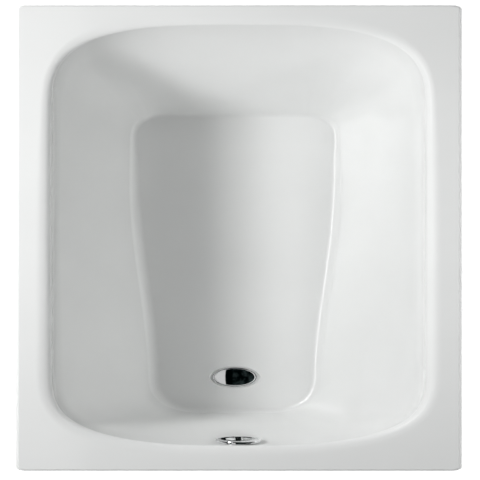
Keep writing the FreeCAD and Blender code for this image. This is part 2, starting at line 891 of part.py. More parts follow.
lev = new_body("lift_lever")
sk = sketch_on(lev, "lift_lever_outline", "YZ_Plane", -3)
polygon(
    sk,
    [
        (lever_y + 6.5, lever_z - 6.5),
        (lever_y + 6.5, lever_z + 6.5),
        (lever_y - 6.5, lever_z + 6.5),
        (4, lever_z + 4.6),
        (-4, lever_z + 4.6),
        (-6, lever_z + 3.0),
        (-6, lever_z + 0.5),
        (4, lever_z - 1.0),
        (lever_y - 6.5, lever_z - 6.5),
    ],
)
circle(sk, lever_y, lever_z, 3.05)
pad(lev, sk, 6, "lift_lever_pad")
lev.Placement = waste_at
keep(lev)

# arm on the same shaft that the cable pulls
arm = new_body("cable_arm")
sk = sketch_on(arm, "cable_arm_outline", "YZ_Plane", cable_x - 1.5)
polygon(
    sk,
    [
        (lever_y - 4.6, lever_z + 4.6),
        (lever_y - 5.2, lever_z - 1.0),
        (lever_y - 1.6, lever_z - 10.2),
        (lever_y, lever_z - 11.4),
        (lever_y + 2.6, lever_z - 10.8),
        (lever_y + 4.6, lever_z - 2.0),
        (lever_y + 4.6, lever_z + 4.6),
    ],
)
circle(sk, lever_y, lever_z, 3.05)
circle(sk, lever_y + 0.4, lever_z - 8.6, 1.1)
pad(arm, sk, 3, "cable_arm_pad")
arm.Placement = waste_at
keep(arm)

# union nut and washer on the branch
turned(
    "waste_union_nut",
    [
        (21.08, 0),
        (26.0, 0),
        (27.5, 2),
        (27.5, 20),
        (26.0, 22),
        (21.6, 22),
        (21.6, 18.2),
        (21.08, 18.2),
    ],
    at(33, waste_y, branch_z, (0, 1, 0), 90),
)
turned(
    "union_washer",
    [(18.0, 0), (21.0, 0), (21.0, 2.4), (18.0, 2.4)],
    at(44.2, waste_y, branch_z, (0, 1, 0), 90),
)

# trap: closed pot, inlet tube turned down by a baffle, outlet on the far side
t_at = at(trap_x, waste_y, 0)
pot_a = turned(
    "trap_outside",
    [
        (0, trap_bot),
        (trap_r - 8.0, trap_bot),
        (trap_r, trap_bot + 8.0),
        (trap_r, trap_top),
        (0, trap_top),
    ],
    t_at,
    False,
)
pot_b = turned(
    "trap_inside",
    [
        (0, trap_bot + 3.0),
        (trap_r - 9.0, trap_bot + 3.0),
        (trap_r - 3.0, trap_bot + 9.0),
        (trap_r - 3.0, trap_top + 1.0),
        (0, trap_top + 1.0),
    ],
    t_at,
    False,
)
t_in = rod("trap_inlet", 21, trap_x - 46.9 - trap_r + 6.0, at(46.9, waste_y, branch_z, (0, 1, 0), 90))
t_in_b = rod("trap_inlet_bore", 18, trap_x - 46.0 - trap_r + 10.0, at(46, waste_y, branch_z, (0, 1, 0), 90))
t_out = rod("trap_outlet", 24, 24, at(trap_x + trap_r - 6.0, waste_y, outlet_z, (0, 1, 0), 90))
t_out_b = rod("trap_outlet_bore", 20.4, 60, at(trap_x + trap_r - 12.0, waste_y, outlet_z, (0, 1, 0), 90))
baffle = block("trap_baffle", 3, 2 * trap_r - 4.0, trap_top - trap_bot - 26.0, at(trap_x - 1.5, waste_y - (trap_r - 2.0), trap_bot + 26.0))
trap_a = fused("trap_solid", [pot_a, t_in, t_out])
trap_b = fused("trap_hollow", [pot_b, t_in_b, t_out_b])
trap_c = less("trap_shell", trap_a, trap_b)
baf_in = doc.addObject("Part::Common", "baffle_fit")
baf_in.Base = baffle
baf_in.Tool = pot_a
trap_body = fused("trap_body", [trap_c, baf_in])
trap_body.Label = "trap_body"
keep(trap_body)

turned(
    "trap_cap_seal",
    [
        (trap_r - 2.8, trap_top + 0.02),
        (trap_r - 0.2, trap_top + 0.02),
        (trap_r - 0.2, trap_top + 2.0),
        (trap_r - 2.8, trap_top + 2.0),
    ],
    t_at,
)
turned(
    "trap_cap",
    [
        (0, trap_top + 2.04),
        (trap_r + 0.08, trap_top + 2.04),
        (trap_r + 0.08, trap_top - 9.6),
        (trap_r + 3.0, trap_top - 9.6),
        (trap_r + 4.0, trap_top - 8.6),
        (trap_r + 4.0, trap_top + 4.0),
        (trap_r + 2.5, trap_top + 5.5),
        (0, trap_top + 5.5),
    ],
    t_at,
)

# outlet nut, washer and pipe
ox = trap_x + trap_r + 18.0
turned(
    "outlet_washer",
    [(pipe_r + 0.04, 0), (23.8, 0), (23.8, 3), (pipe_r + 0.04, 3)],
    FreeCAD.Placement(Vec(ox.val + 0.05, waste_y.val, outlet_z.val), FreeCAD.Rotation(Vec(0, 1, 0), 90)),
)
turned(
    "outlet_nut",
    [
        (24.08, 0),
        (28.5, 0),
        (30.0, 2),
        (30.0, 20),
        (28.0, 22.5),
        (20.3, 22.5),
        (20.3, 17.2),
        (24.08, 17.2),
    ],
    FreeCAD.Placement(Vec(ox.val - 14.0, waste_y.val, outlet_z.val), FreeCAD.Rotation(Vec(0, 1, 0), 90)),
)


def line(a, b):
    return Part.LineSegment(a, b).toShape()


def route(points, radii):
    """Straight runs joined by tangent arcs; one radius per inner point."""
    edges = []
    start = points[0]
    for k in range(1, len(points) - 1):
        p, a, b = points[k], points[k - 1], points[k + 1]
        u = (a - p).normalize()
        v = (b - p).normalize()
        ang = u.getAngle(v)
        cut = radii[k - 1] / math.tan(ang / 2)
        s, e = p + u * cut, p + v * cut
        bis = (u + v).normalize()
        centre = p + bis * (radii[k - 1] / math.sin(ang / 2))
        mid = centre - bis * radii[k - 1]
        if (s - start).Length > 1e-6:
            edges.append(line(start, s))
        edges.append(Part.Arc(s, mid, e).toShape())
        start = e
    edges.append(line(start, points[-1]))
    return Part.Wire(edges)


def tube_on(wire, outer, inner):
    e = wire.Edges[0]
    p = e.valueAt(e.FirstParameter)
    t = e.tangentAt(e.FirstParameter)
    o = Part.Wire([Part.makeCircle(outer, p, t)])
    s = wire.makePipeShell([o], True, False)
    if inner:
        i = Part.Wire([Part.makeCircle(inner, p, t)])
        s = s.cut(wire.makePipeShell([i], True, False))
    return s


pipe_start = Vec(trap_x.val + trap_r.val - 2.0, waste_y.val, outlet_z.val)
pipe_bend = Vec(272.0, waste_y.val, outlet_z.val)
pipe_end = Vec(272.0, -790.0, outlet_z.val)
pipe_route = route([pipe_start, pipe_bend, pipe_end], [46.0])
outlet_pipe = doc.addObject("Part::Feature", "outlet_pipe")
outlet_pipe.Label = "outlet_pipe"
outlet_pipe.Shape = tube_on(pipe_route, pipe_r.val, pipe_r.val - pipe_wall.val)
keep(outlet_pipe)

# ---------------------------------------------------------- overflow fitting
# local Z runs off the wall into the basin, local Y down the wall
gz = -(sheet_th + 0.05)
turned("overflow_gasket", [(27, gz - 2.5), (34.5, gz - 2.5), (34.5, gz), (27, gz)], on_wall())
bz = gz - 2.55
cup_out = turned(
    "cup_outside",
    [
        (0, bz - 32.5),
        (26.5, bz - 32.5),
        (29, bz - 30.0),
        (29, bz - 4.0),
        (35, bz - 4.0),
        (35, bz),
        (0, bz),
    ],
    None,
    False,
)
cup_in = turned(
    "cup_inside",
    [(0, bz - 29.5), (24.5, bz - 29.5), (26, bz - 28.0), (26, bz + 1.0), (0, bz + 1.0)],
    None,
    False,
)
spig_out = rod("spigot_outside", 12, 29, at(0, 26, bz - 19.8, (1, 0, 0), -90))
spig_in = rod("spigot_inside", 9.6, 46, at(0, 14, bz - 19.8, (1, 0, 0), -90))
cab_out = rod("cable_exit", 4.5, 20, at(-23, 12, bz - 19.5, (1, 0, 0), -90))
cab_in = rod("cable_exit_bore", 1.2, 30, at(-23, 4, bz - 19.5, (1, 0, 0), -90))
ear_a = rod("screw_post_a", 5, 25.5, at(19.2, 0, bz - 30.5))
ear_b = rod("screw_post_b", 5, 25.5, at(-19.2, 0, bz - 30.5))
thr_a = rod("screw_bore_a", 2.1, 16, at(19.2, 0, bz - 20.0))
thr_b = rod("screw_bore_b", 2.1, 16, at(-19.2, 0, bz - 20.0))
seat_o = rod("spindle_seat", 9, 6.5, at(0, 0, bz - 30.5))
seat_i = rod("spindle_seat_bore", spindle_r + 0.05, 9, at(0, 0, bz - 28.4))
ob_shell = less("cup_shell", fused("cup_a", [cup_out, spig_out, cab_out]), fused("cup_b", [cup_in, spig_in, cab_in]))
ob_posts = fused("cup_posts", [ob_shell, ear_a, ear_b, seat_o])
overflow_body = less("overflow_body", ob_posts, fused("cup_bores", [thr_a, thr_b, seat_i]))
overflow_body.Label = "overflow_body"
overflow_body.Placement = on_wall()
keep(overflow_body)

# insert: ring on the wet side with a crossbar that carries the spindle
ins_ring = turned("insert_ring", [(23.5, -2.0), (25.6, -2.0), (25.6, 0.35), (31, 0.35), (31, 1.4), (29.5, 2.0), (23.5, 2.0)], None, False)
ins_bar = block("insert_bar", 48, 11, 3.2, at(-24, -5.5, -1.4))
ins_hub = rod("insert_hub", 8.5, 4.8, at(0, 0, -2.6))
ins_bore = rod("insert_bore", spindle_r + 0.05, 12, at(0, 0, -6))
ins_h1 = rod("insert_hole_a", 2.6, 12, at(19.2, 0, -6))
ins_h2 = rod("insert_hole_b", 2.6, 12, at(-19.2, 0, -6))
overflow_insert = less("overflow_insert", fused("insert_all", [ins_ring, ins_bar, ins_hub]), fused("insert_holes", [ins_bore, ins_h1, ins_h2]))
overflow_insert.Label = "overflow_insert"
overflow_insert.Placement = on_wall()
keep(overflow_insert)

# two screws from the insert into the posts behind the wall
sc = new_body("overflow_screws", True)
sk = sketch_on(sc, "screw_shanks", "XY_Plane", bz - 18.0)
circle(sk, 19.2, 0, 2.08)
circle(sk, -19.2, 0, 2.08)
pad(sc, sk, 18.0 - bz + 1.85, "screw_shank_pad")
sk = sketch_on(sc, "screw_heads", "XY_Plane", 1.82)
circle(sk, 19.2, 0, 4.2)
circle(sk, -19.2, 0, 4.2)
pad(sc, sk, 1.2, "screw_head_pad")
sc.Placement = on_wall()
keep(sc)

# spindle: turned shaft with a square driver end for the knob
turned(
    "knob_spindle",
    [
        (0, bz - 28.0),
        (spindle_r, bz - 28.0),
        (spindle_r, knob_gap + 2.0),
        (3.5, knob_gap + 2.0),
        (3.5, knob_gap + knob_h - 3.6),
        (0, knob_gap + knob_h - 3.6),
    ],
    on_wall(),
)

# cam drum on the spindle; the cable's end is held in its notch
cam = new_body("cable_cam")
sk = sketch_on(cam, "cam_outline", "XY_Plane", bz - 23.0)
circle(sk, 0, 0, 12.5)
circle(sk, 0, 0, spindle_r + 0.03)
pad(cam, sk, 7.5, "cam_pad")
sk = sketch_on(cam, "cam_lip", "XY_Plane", bz - 15.52)
circle(sk, 0, 0, 14)
circle(sk, 0, 0, spindle_r + 0.03)
pad(cam, sk, 1.5, "cam_lip_pad")
cam.Placement = on_wall()
keep(cam)

# knob: shallow cup whose face has two finger hollows and a grip bar between
kn_out = turned(
    "knob_outside",
    [
        (0, knob_gap),
        (knob_r - 1.0, knob_gap),
        (knob_r, knob_gap + 1.0),
        (knob_r, knob_gap + knob_h - 4.5),
        (knob_r - 1.2, knob_gap + knob_h - 1.8),
        (knob_r - 4.0, knob_gap + knob_h - 0.4),
        (knob_r - 8.0, knob_gap + knob_h),
        (0, knob_gap + knob_h),
    ],
    None,
    False,
)
kn_in = turned(
    "knob_inside",
    [
        (0, knob_gap - 1.0),
        (knob_r - 3.0, knob_gap - 1.0),
        (knob_r - 3.0, knob_gap + knob_h - 7.0),
        (knob_r - 6.0, knob_gap + knob_h - 5.2),
        (knob_r - 9.0, knob_gap + 1.4),
        (6.5, knob_gap + 1.4),
        (6.5, knob_gap + 2.0),
        (3.53, knob_gap + 2.0),
        (3.53, knob_gap + knob_h - 3.55),
        (0, knob_gap + knob_h - 3.55),
    ],
    None,
    False,
)


def finger_tool(name):
    """Bowl-shaped cutter beside the grip bar."""
    t = turned(
        name,
        [
            (0, knob_gap + knob_h - 5.2),
            (10, knob_gap + knob_h - 4.6),
            (17, knob_gap + knob_h - 2.2),
            (21, knob_gap + knob_h + 1.0),
            (0, knob_gap + knob_h + 1.0),
        ],
        None,
        False,
    )
    return t


bowl = finger_tool("finger_bowl")
keep_bar = block("grip_bar", 11, 90, 30, at(-5.5, -45, 0))
bowl_cut = less("bowl_cut", bowl, keep_bar)
knob_a = less("knob_cup", kn_out, kn_in)
knob = less("overflow_knob", knob_a, bowl_cut)
knob.Label = "overflow_knob"
knob.Placement = on_wall()
keep(knob)

# ------------------------------------------------------ hose, nuts and cable
sp_c = OVER + OUT * (bz.val - 19.8)
h0 = sp_c + DOWN * 37.4
h_dir = DOWN
hz = hose_in_z.val
run_down = (h0.z - hz) / -h_dir.z
h_corner = h0 + h_dir * run_down
h_end = Vec(0, waste_y.val - body_r.val - 2.5, hz)
hose_route = route([h0, h_corner, h_end], [64.0])
hose = doc.addObject("Part::Feature", "overflow_hose")
hose.Label = "overflow_hose"
hose.Shape = tube_on(hose_route, hose_r.val, hose_r.val - hose_wall.val)
keep(hose)

nut_outline = [
    (12.2, 0),
    (16.4, 0),
    (17.4, 1.2),
    (17.4, 12.0),
    (16.4, 13.2),
    (hose_r + 0.06, 13.2),
    (hose_r + 0.06, 1.2),
    (12.2, 1.2),
]
turned(
    "hose_nut_upper",
    nut_outline,
    FreeCAD.Placement(sp_c + DOWN * 36.1, FreeCAD.Rotation(Vec(0, 0, 1), DOWN)),
)
turned(
    "hose_nut_lower",
    nut_outline,
    FreeCAD.Placement(
        Vec(0, waste_y.val - body_r.val - 1.2, hz),
        FreeCAD.Rotation(Vec(0, 0, 1), Vec(0, -1, 0)),
    ),
)

# pull cable in its sleeve, from the overflow body to the waste body
c0 = OVER + OUT * (bz.val - 19.5) + DOWN * 32.05
c0.x = -23.0
c_in = Vec(cable_x, waste_y.val - 36.05, (lever_z - 9.0).val)
c1 = c0 + DOWN * 46.0
c2 = c0 + DOWN * 118.0
c2.x = -29.0
c3 = c0 + DOWN * 196.0
c3.x = -33.0
c4 = c0 + DOWN * 274.0
c4.x = -31.0
c5 = c0 + DOWN * 340.0
c5.x = -27.0
c6 = Vec(-22.0, c_in.y - 76.0, c_in.z - 4.0)
c7 = Vec(cable_x, c_in.y - 34.0, c_in.z)
cable_pts = [c0, c1, c2, c3, c4, c5, c6, c7, c_in]
cable_rad = []
for k in range(1, len(cable_pts) - 1):
    a, p, b = cable_pts[k - 1], cable_pts[k], cable_pts[k + 1]
    ang = (a - p).getAngle(b - p)
    short = min((a - p).Length, (b - p).Length)
    turn = math.pi - ang
    cable_rad.append(min(0.45 * short / math.tan(turn / 2), 400.0))
print("cable radii", [round(r, 1) for r in cable_rad])
cable_route = route(cable_pts, cable_rad)
cable = doc.addObject("Part::Feature", "pull_cable")
cable.Label = "pull_cable"
cable.Shape = tube_on(cable_route, cable_r.val, 0)
keep(cable)
print("cable volume ratio", cable.Shape.Volume / (math.pi * cable_r.val**2 * cable_route.Length))

# ------------------------------------------------------------ legs and feet
tilt = math.degrees(math.atan(fall.val))


def under_floor(y, drop=0.0):
    """A point on the underside of the floor, drop below it."""
    return floor_at(y) - sheet_th.val / math.cos(math.radians(tilt)) - drop


for end, sgn in (("head", 1), ("foot", -1)):
    y = rail_y * sgn
    yv = y.val
    zu = under_floor(yv, 0.22)
    # welded plates with studs
    sp = new_body("stud_plates_" + end, True)
    sk = sketch_on(sp, "plates_" + end, "XY_Plane", -3)
    for sx in (1, -1):
        rectangle(sk, stud_x * sx, 0, 50, 34)
    pad(sp, sk, 3, "plate_pad_" + end)
    stud_len = zu - rail_top.val + 16.0
    sk = sketch_on(sp, "studs_" + end, "XY_Plane", -stud_len)
    for sx in (1, -1):
        circle(sk, stud_x * sx, 0, 4)
    pad(sp, sk, stud_len - 2.5, "stud_pad_" + end)
    sp.Placement = FreeCAD.Placement(Vec(0, yv, zu), FreeCAD.Rotation())
    keep(sp)
    # rubber buffers between plates and rail
    bf = new_body("rail_buffers_" + end, True)
    bf_h = zu - 3.0 - rail_top.val
    sk = sketch_on(bf, "buffers_" + end, "XY_Plane", rail_top + 0.05)
    for sx in (1, -1):
        rectangle(sk, stud_x * sx, y, 44, 30)
        circle(sk, stud_x * sx, y, 4.6)
    pad(bf, sk, bf_h - 0.45, "buffer_pad_" + end)
    keep(bf)
    # rail: channel open downwards, holes for studs and rods
    rl = new_body("leg_rail_" + end)
    sk = sketch_on(rl, "rail_section_" + end, "YZ_Plane", -(rail_len / 2))
    polygon(
        sk,
        [
            (y - rail_w / 2, rail_top - rail_h),
            (y - rail_w / 2 + rail_t, rail_top - rail_h),
            (y - rail_w / 2 + rail_t, rail_top - rail_t),
            (y + rail_w / 2 - rail_t, rail_top - rail_t),
            (y + rail_w / 2 - rail_t, rail_top - rail_h),
            (y + rail_w / 2, rail_top - rail_h),
            (y + rail_w / 2, rail_top),
            (y - rail_w / 2, rail_top),
        ],
    )
    pad(rl, sk, rail_len, "rail_pad_" + end)
    # threaded bosses pressed from the web at both ends
    sk = sketch_on(rl, "rail_boss_" + end, "XY_Plane", rail_top - rail_t - 10.0)
    for sx in (1, -1):
        circle(sk, foot_x * sx, y, 10)
    pad(rl, sk, 10.5, "boss_pad_" + end)
    sk = sketch_on(rl, "rail_holes_" + end, "XY_Plane", rail_top - rail_t - 30.0)
    for sx in (1, -1):
        circle(sk, foot_x * sx, y, rod_r + 0.05)
        circle(sk, stud_x * sx, y, 5)
    hole = rl.newObject("PartDesign::Pocket", "rail_hole_cut_" + end)
    hole.Profile = sk
    hole.Length = 60
    hole.Reversed = True
    rl.Tip = hole
    keep(rl)
    # washers and nuts under the web
    ws = new_body("rail_washers_" + end, True)
    sk = sketch_on(ws, "washers_" + end, "XY_Plane", rail_top - rail_t - 1.65)
    for sx in (1, -1):
        circle(sk, stud_x * sx, y, 8)
        circle(sk, stud_x * sx, y, 4.25)
    pad(ws, sk, 1.6, "washer_pad_" + end)
    keep(ws)
    ns = new_body("rail_nuts_" + end, True)
    sk = sketch_on(ns, "nuts_" + end, "XY_Plane", rail_top - rail_t - 8.2)
    for sx in (1, -1):
        hexagon(sk, stud_x * sx, y, 13)
        circle(sk, stud_x * sx, y, 4.15)
    pad(ns, sk, 6.5, "nut_pad_" + end)
    keep(ns)
    # lock nuts on top of the rail
    ln = new_body("foot_locknuts_" + end, True)
    sk = sketch_on(ln, "locknuts_" + end, "XY_Plane", rail_top + 0.05)
    for sx in (1, -1):
        hexagon(sk, foot_x * sx, y, 17)
        circle(sk, foot_x * sx, y, rod_r + 0.05)
    pad(ln, sk, 8, "locknut_pad_" + end)
    keep(ln)
    # levelling feet
    for side, sx in (("right", 1), ("left", -1)):
        place = at(foot_x * sx, y, 0)
        turned(
            "foot_rod_%s_%s" % (end, side),
            [
                (0, 6.0),
                (5.5, 6.0),
                (6.5, 8.0),
                (6.5, 10.5),
                (5.0, 12.5),
                (5.0, 16.0),
                (8.5, 16.0),
                (8.5, 22.0),
                (rod_r, 23.0),
                (rod_r, rod_top - 1.0),
                (rod_r - 1.0, rod_top),
                (0, rod_top),
            ],
            place,
        )
        turned(
            "foot_pad_%s_%s" % (end, side),
            [
                (0, 0),
                (pad_r - 1.0, 0),
                (pad_r, 1.0),
                (pad_r, 4.0),
                (pad_r - 3.0, 6.5),
                (13, 9.0),
                (10.5, pad_h),
                (6.0, pad_h),
                (6.0, 12.0),
                (6.6, 10.8),
                (6.6, 5.9),
                (0, 5.9),
            ],
            place,
        )


# -------------------------------------------------------- anti-drumming mats
def wall_point(mu, v):
    p = profile(mu, sheet_th.val)
    a, b = p[3], p[4]
    return a + (b - a) * v


def wall_normal(mu, v):
    e = 2.0
    du = wall_point(mu + e, v) - wall_point(mu - e, v)
    dv = wall_point(mu, v + 0.01) - wall_point(mu, v - 0.01)
    n = du.cross(dv).normalize()
    b, q = station(mu)
    if n.z > 0:
        n = n * -1
    return n


def mat(label, mu0, mu1, v0, v1, gap, mirror):
    """A bonded mat that follows the outside of the wall."""
    rows_in, rows_out = [], []
    nu, nv = 14, 5
    for j in range(nv + 1):
        v = v0 + (v1 - v0) * j / nv
        a, b = [], []
        for i in range(nu + 1):
            mu = mu0 + (mu1 - mu0) * i / nu
            p, n = wall_point(mu, v), wall_normal(mu, v)
            a.append(p + n * gap)
            b.append(p + n * (gap + mat_th.val))
        rows_in.append(a)
        rows_out.append(b)

    def skin(rows):
        s = Part.BSplineSurface()
        s.interpolate([[rows[j][i] for j in range(nv + 1)] for i in range(nu + 1)])
        return s

    s0, s1 = skin(rows_in), skin(rows_out)
    faces = [s0.toShape(), s1.toShape()]
    b0, b1 = s0.bounds(), s1.bounds()

    def sides(s, b):
        return [
            s.vIso(b[2]).toShape(b[0], b[1]),
            s.vIso(b[3]).toShape(b[0], b[1]),
            s.uIso(b[0]).toShape(b[2], b[3]),
            s.uIso(b[1]).toShape(b[2], b[3]),
        ]

    for e0, e1 in zip(sides(s0, b0), sides(s1, b1)):
        faces.append(Part.makeRuledSurface(e0, e1))
    sh = Part.makeShell(faces)
    sh.sewShape()
    so = Part.makeSolid(sh)
    if so.Volume < 0:
        so.reverse()
    if mirror:
        other = mirrored(so)
        if other.Volume < 0:
            other.reverse()
        so = other if mirror == "other" else Part.makeCompound([so, other])
    f = doc.addObject("Part::Feature", label)
    f.Label = label
    f.Shape = so
    return keep(f)


def mu_at_top_y(y):
    lo, hi = mid_marks[3], mid_marks[4]
    for _ in range(50):
        m = (lo + hi) / 2
        if station(m)[1][1] > y:
            lo = m
        else:
            hi = m
    return (lo + hi) / 2


m0, m1 = mu_at_top_y(230.0), mu_at_top_y(-230.0)
mat("side_mat_right", m0, m1, 0.34, 0.82, 0.06, "")
mat("side_mat_left", m0, m1, 0.34, 0.82, 0.06, "other")
mat("head_mat", 6.0, 84.0, 0.28, 0.80, 0.06, "both")

fm = new_body("floor_mat")
sk = sketch_on(fm, "floor_mat_outline", "XY_Plane", -mat_th - 0.05)
rectangle(sk, 0, 0, 190, 520)
pad(fm, sk, mat_th, "floor_mat_pad")
fm.Placement = FreeCAD.Placement(
    Vec(0, -20.0, under_floor(-20.0, 0.02)), FreeCAD.Rotation(Vec(1, 0, 0), tilt)
)
keep(fm)

# ------------------------------------------------------------ earth bonding
ez = under_floor(-420.0, 0.02)
eb = new_body("earth_tag")
sk = sketch_on(eb, "earth_tag_outline", "XZ_Plane", -1.25)
polygon(sk, [(-12, -26), (12, -26), (12, 0), (-12, 0)])
circle(sk, 0, -14, 3.3)
pad(eb, sk, 2.5, "earth_tag_pad")
turn_out = FreeCAD.Rotation(Vec(1, 0, 0), tilt) * FreeCAD.Rotation(Vec(0, 0, 1), 90)
eb.Placement = FreeCAD.Placement(Vec(-82.0, -420.0, ez), turn_out)
screw_at = Vec(
    -82.0,
    -420.0 + 14.0 * math.sin(math.radians(tilt)),
    ez - 14.0 * math.cos(math.radians(tilt)),
)
keep(eb)
ex = new_body("earth_screw")
sk = sketch_on(ex, "earth_screw_head", "XZ_Plane", 1.3)
hexagon(sk, 0, 0, 10)
pad(ex, sk, 4, "earth_head_pad")
sk = sketch_on(ex, "earth_screw_shank", "XZ_Plane", -6.8)
circle(sk, 0, 0, 2.6)
pad(ex, sk, 8.3, "earth_shank_pad")
sk = sketch_on(ex, "earth_screw_end", "XZ_Plane", -14)
circle(sk, 0, 0, 3)
pad(ex, sk, 7.4, "earth_end_pad")
ex.Placement = FreeCAD.Placement(screw_at, turn_out)
keep(ex)
en = new_body("earth_nut")
sk = sketch_on(en, "earth_nut_outline", "XZ_Plane", -6.3)
hexagon(sk, 0, 0, 10)
circle(sk, 0, 0, 2.65)
pad(en, sk, 5, "earth_nut_pad")
en.Placement = FreeCAD.Placement(screw_at, turn_out)
keep(en)

doc.recompute()

# ------------------------------------------------------------ check and write
bad = []
for o in doc.Objects:
    if "Invalid" in o.State or "Error" in o.State:
        bad.append("%s: %s" % (o.Label, o.State))
for label, o in kept.items():
    s = o.Shape
    if s.isNull() or not s.isValid() or not s.Solids:
        bad.append("%s: null, invalid or no solid" % label)
if bad:
    raise RuntimeError("; ".join(bad))
for label, o in kept.items():
    o.Shape.exportStep("parts/%s.step" % label)
    print("%-24s solids %d  volume %.1f cm3" % (label, len(o.Shape.Solids), o.Shape.Volume / 1000))
print(len(kept), "nodes")
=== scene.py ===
import bpy
import bmesh
import json
import math
import numpy as np
from mathutils import Matrix, Vector


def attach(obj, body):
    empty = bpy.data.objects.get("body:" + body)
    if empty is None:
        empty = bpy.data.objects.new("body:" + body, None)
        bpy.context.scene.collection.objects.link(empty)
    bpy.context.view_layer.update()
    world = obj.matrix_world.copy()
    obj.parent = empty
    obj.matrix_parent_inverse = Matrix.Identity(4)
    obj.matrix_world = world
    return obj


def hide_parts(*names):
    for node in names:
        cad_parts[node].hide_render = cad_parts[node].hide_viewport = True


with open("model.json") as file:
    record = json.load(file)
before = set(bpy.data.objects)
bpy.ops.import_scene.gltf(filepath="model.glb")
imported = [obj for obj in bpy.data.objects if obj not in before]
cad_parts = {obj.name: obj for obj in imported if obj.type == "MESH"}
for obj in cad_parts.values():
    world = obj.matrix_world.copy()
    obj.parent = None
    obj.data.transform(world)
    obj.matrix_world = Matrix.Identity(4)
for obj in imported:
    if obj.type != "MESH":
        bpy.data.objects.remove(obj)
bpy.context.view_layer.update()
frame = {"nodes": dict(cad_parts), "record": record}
NODES = frame["nodes"]
scene = bpy.context.scene

# ------------------------------------------------------------------ sizes (mm)
RIM_Z, SHEET, SKIRT = 570.0, 3.0, 34.0
RIM_W, RIM_L, RIM_CORNER, RIM_EDGE = 350.0, 850.0, 16.0, 7.0
ROLL, CREASE = 18.0, 22.0
EASE_AT, EASE_TURN = 52.0, 15.0
SOFT_SIDE, SOFT_END = 24.0, 38.0
TOP_HALF, TOP_HEAD, TOP_FOOT = 294.0, 783.0, 761.0
BOT_HALF_HEAD, BOT_HALF_FOOT = 161.5, 131.0
BOT_HEAD, BOT_FOOT = 449.0, 635.0
FLOOR_Z, FALL, WASTE_Y = 170.0, 0.0105, -508.0
DISH_R, DISH_D, WASTE_HOLE = 38.5, 3.5, 26.0
OVER_DEPTH, OVER_HOLE = 46.0, 26.0


# ---------------------------------------------------------------- mesh helpers
class Build:
    """Collects points and faces, in millimetres, and makes one mesh object."""

    def __init__(self):
        self.v, self.f, self.m, self.s = [], [], [], []
        self.at = None

    def point(self, p):
        if self.at is not None:
            p = self.at @ Vector(p)
        self.v.append((float(p[0]), float(p[1]), float(p[2])))
        return len(self.v) - 1

    def points(self, ps):
        return [self.point(p) for p in ps]

    def face(self, ids, mat=0, smooth=True):
        self.f.append(tuple(ids))
        self.m.append(mat)
        self.s.append(smooth)

    def strip(self, a, b, mat=0, smooth=True, closed=True, flip=False):
        n = len(a)
        for i in range(n if closed else n - 1):
            j = (i + 1) % n
            q = (a[i], a[j], b[j], b[i])
            self.face(q[::-1] if flip else q, mat, smooth)

    def object(self, name, mats, place=None, merge=0.002, auto=None):
        me = bpy.data.meshes.new(name)
        me.from_pydata(self.v, [], self.f)
        me.polygons.foreach_set("material_index", self.m)
        me.polygons.foreach_set("use_smooth", self.s)
        for m in mats:
            me.materials.append(m)
        bm = bmesh.new()
        bm.from_mesh(me)
        bmesh.ops.remove_doubles(bm, verts=bm.verts, dist=merge)
        bmesh.ops.dissolve_degenerate(bm, dist=merge * 0.2, edges=bm.edges)
        bmesh.ops.recalc_face_normals(bm, faces=bm.faces)
        if auto is not None:
            for e in bm.edges:
                if len(e.link_faces) == 2 and e.calc_face_angle(0) > math.radians(auto):
                    e.smooth = False
        bm.to_mesh(me)
        bm.free()
        me.transform(Matrix.Scale(0.001, 4))
        if place is not None:
            me.transform(place)
        o = bpy.data.objects.new(name, me)
        scene.collection.objects.link(o)
        return o


def place_mm(x, y, z, axis=(0, 0, 1)):
    """Local Z along axis, origin at x, y, z in millimetres."""
    q = Vector((0, 0, 1)).rotation_difference(Vector(axis).normalized())
    return Matrix.Translation(Vector((x, y, z)) / 1000) @ q.to_matrix().to_4x4()


def arc(cx, cy, r, a0, a1, n):
    return [
        (
            cx + r * math.cos(math.radians(a0 + (a1 - a0) * i / n)),
            cy + r * math.sin(math.radians(a0 + (a1 - a0) * i / n)),
        )
        for i in range(n + 1)
    ]


def soften(pts, r, n=4, closed=True):
    """Round each corner of a profile of (radius, height) points.

    r is one radius, or one per corner."""
    out = []
    m = len(pts)
    for i in range(m):
        p = Vector(pts[i])
        rr = r[i] if isinstance(r, (list, tuple)) else r
        if not closed and i in (0, m - 1) or rr <= 0:
            out.append(tuple(p))
            continue
        a, b = Vector(pts[(i - 1) % m]), Vector(pts[(i + 1) % m])
        u, w = a - p, b - p
        lu, lw = u.length, w.length
        if lu < 1e-9 or lw < 1e-9:
            out.append(tuple(p))
            continue
        u, w = u / lu, w / lw
        ang = math.acos(max(-1, min(1, u.dot(w))))
        if ang > math.radians(172) or ang < 1e-3:
            out.append(tuple(p))
            continue
        cut = min(rr / math.tan(ang / 2), lu * 0.45, lw * 0.45)
        s, e = p + u * cut, p + w * cut
        for k in range(n + 1):
            t = k / n
            out.append(tuple(s * (1 - t) ** 2 + p * 2 * t * (1 - t) + e * t * t))
    return out


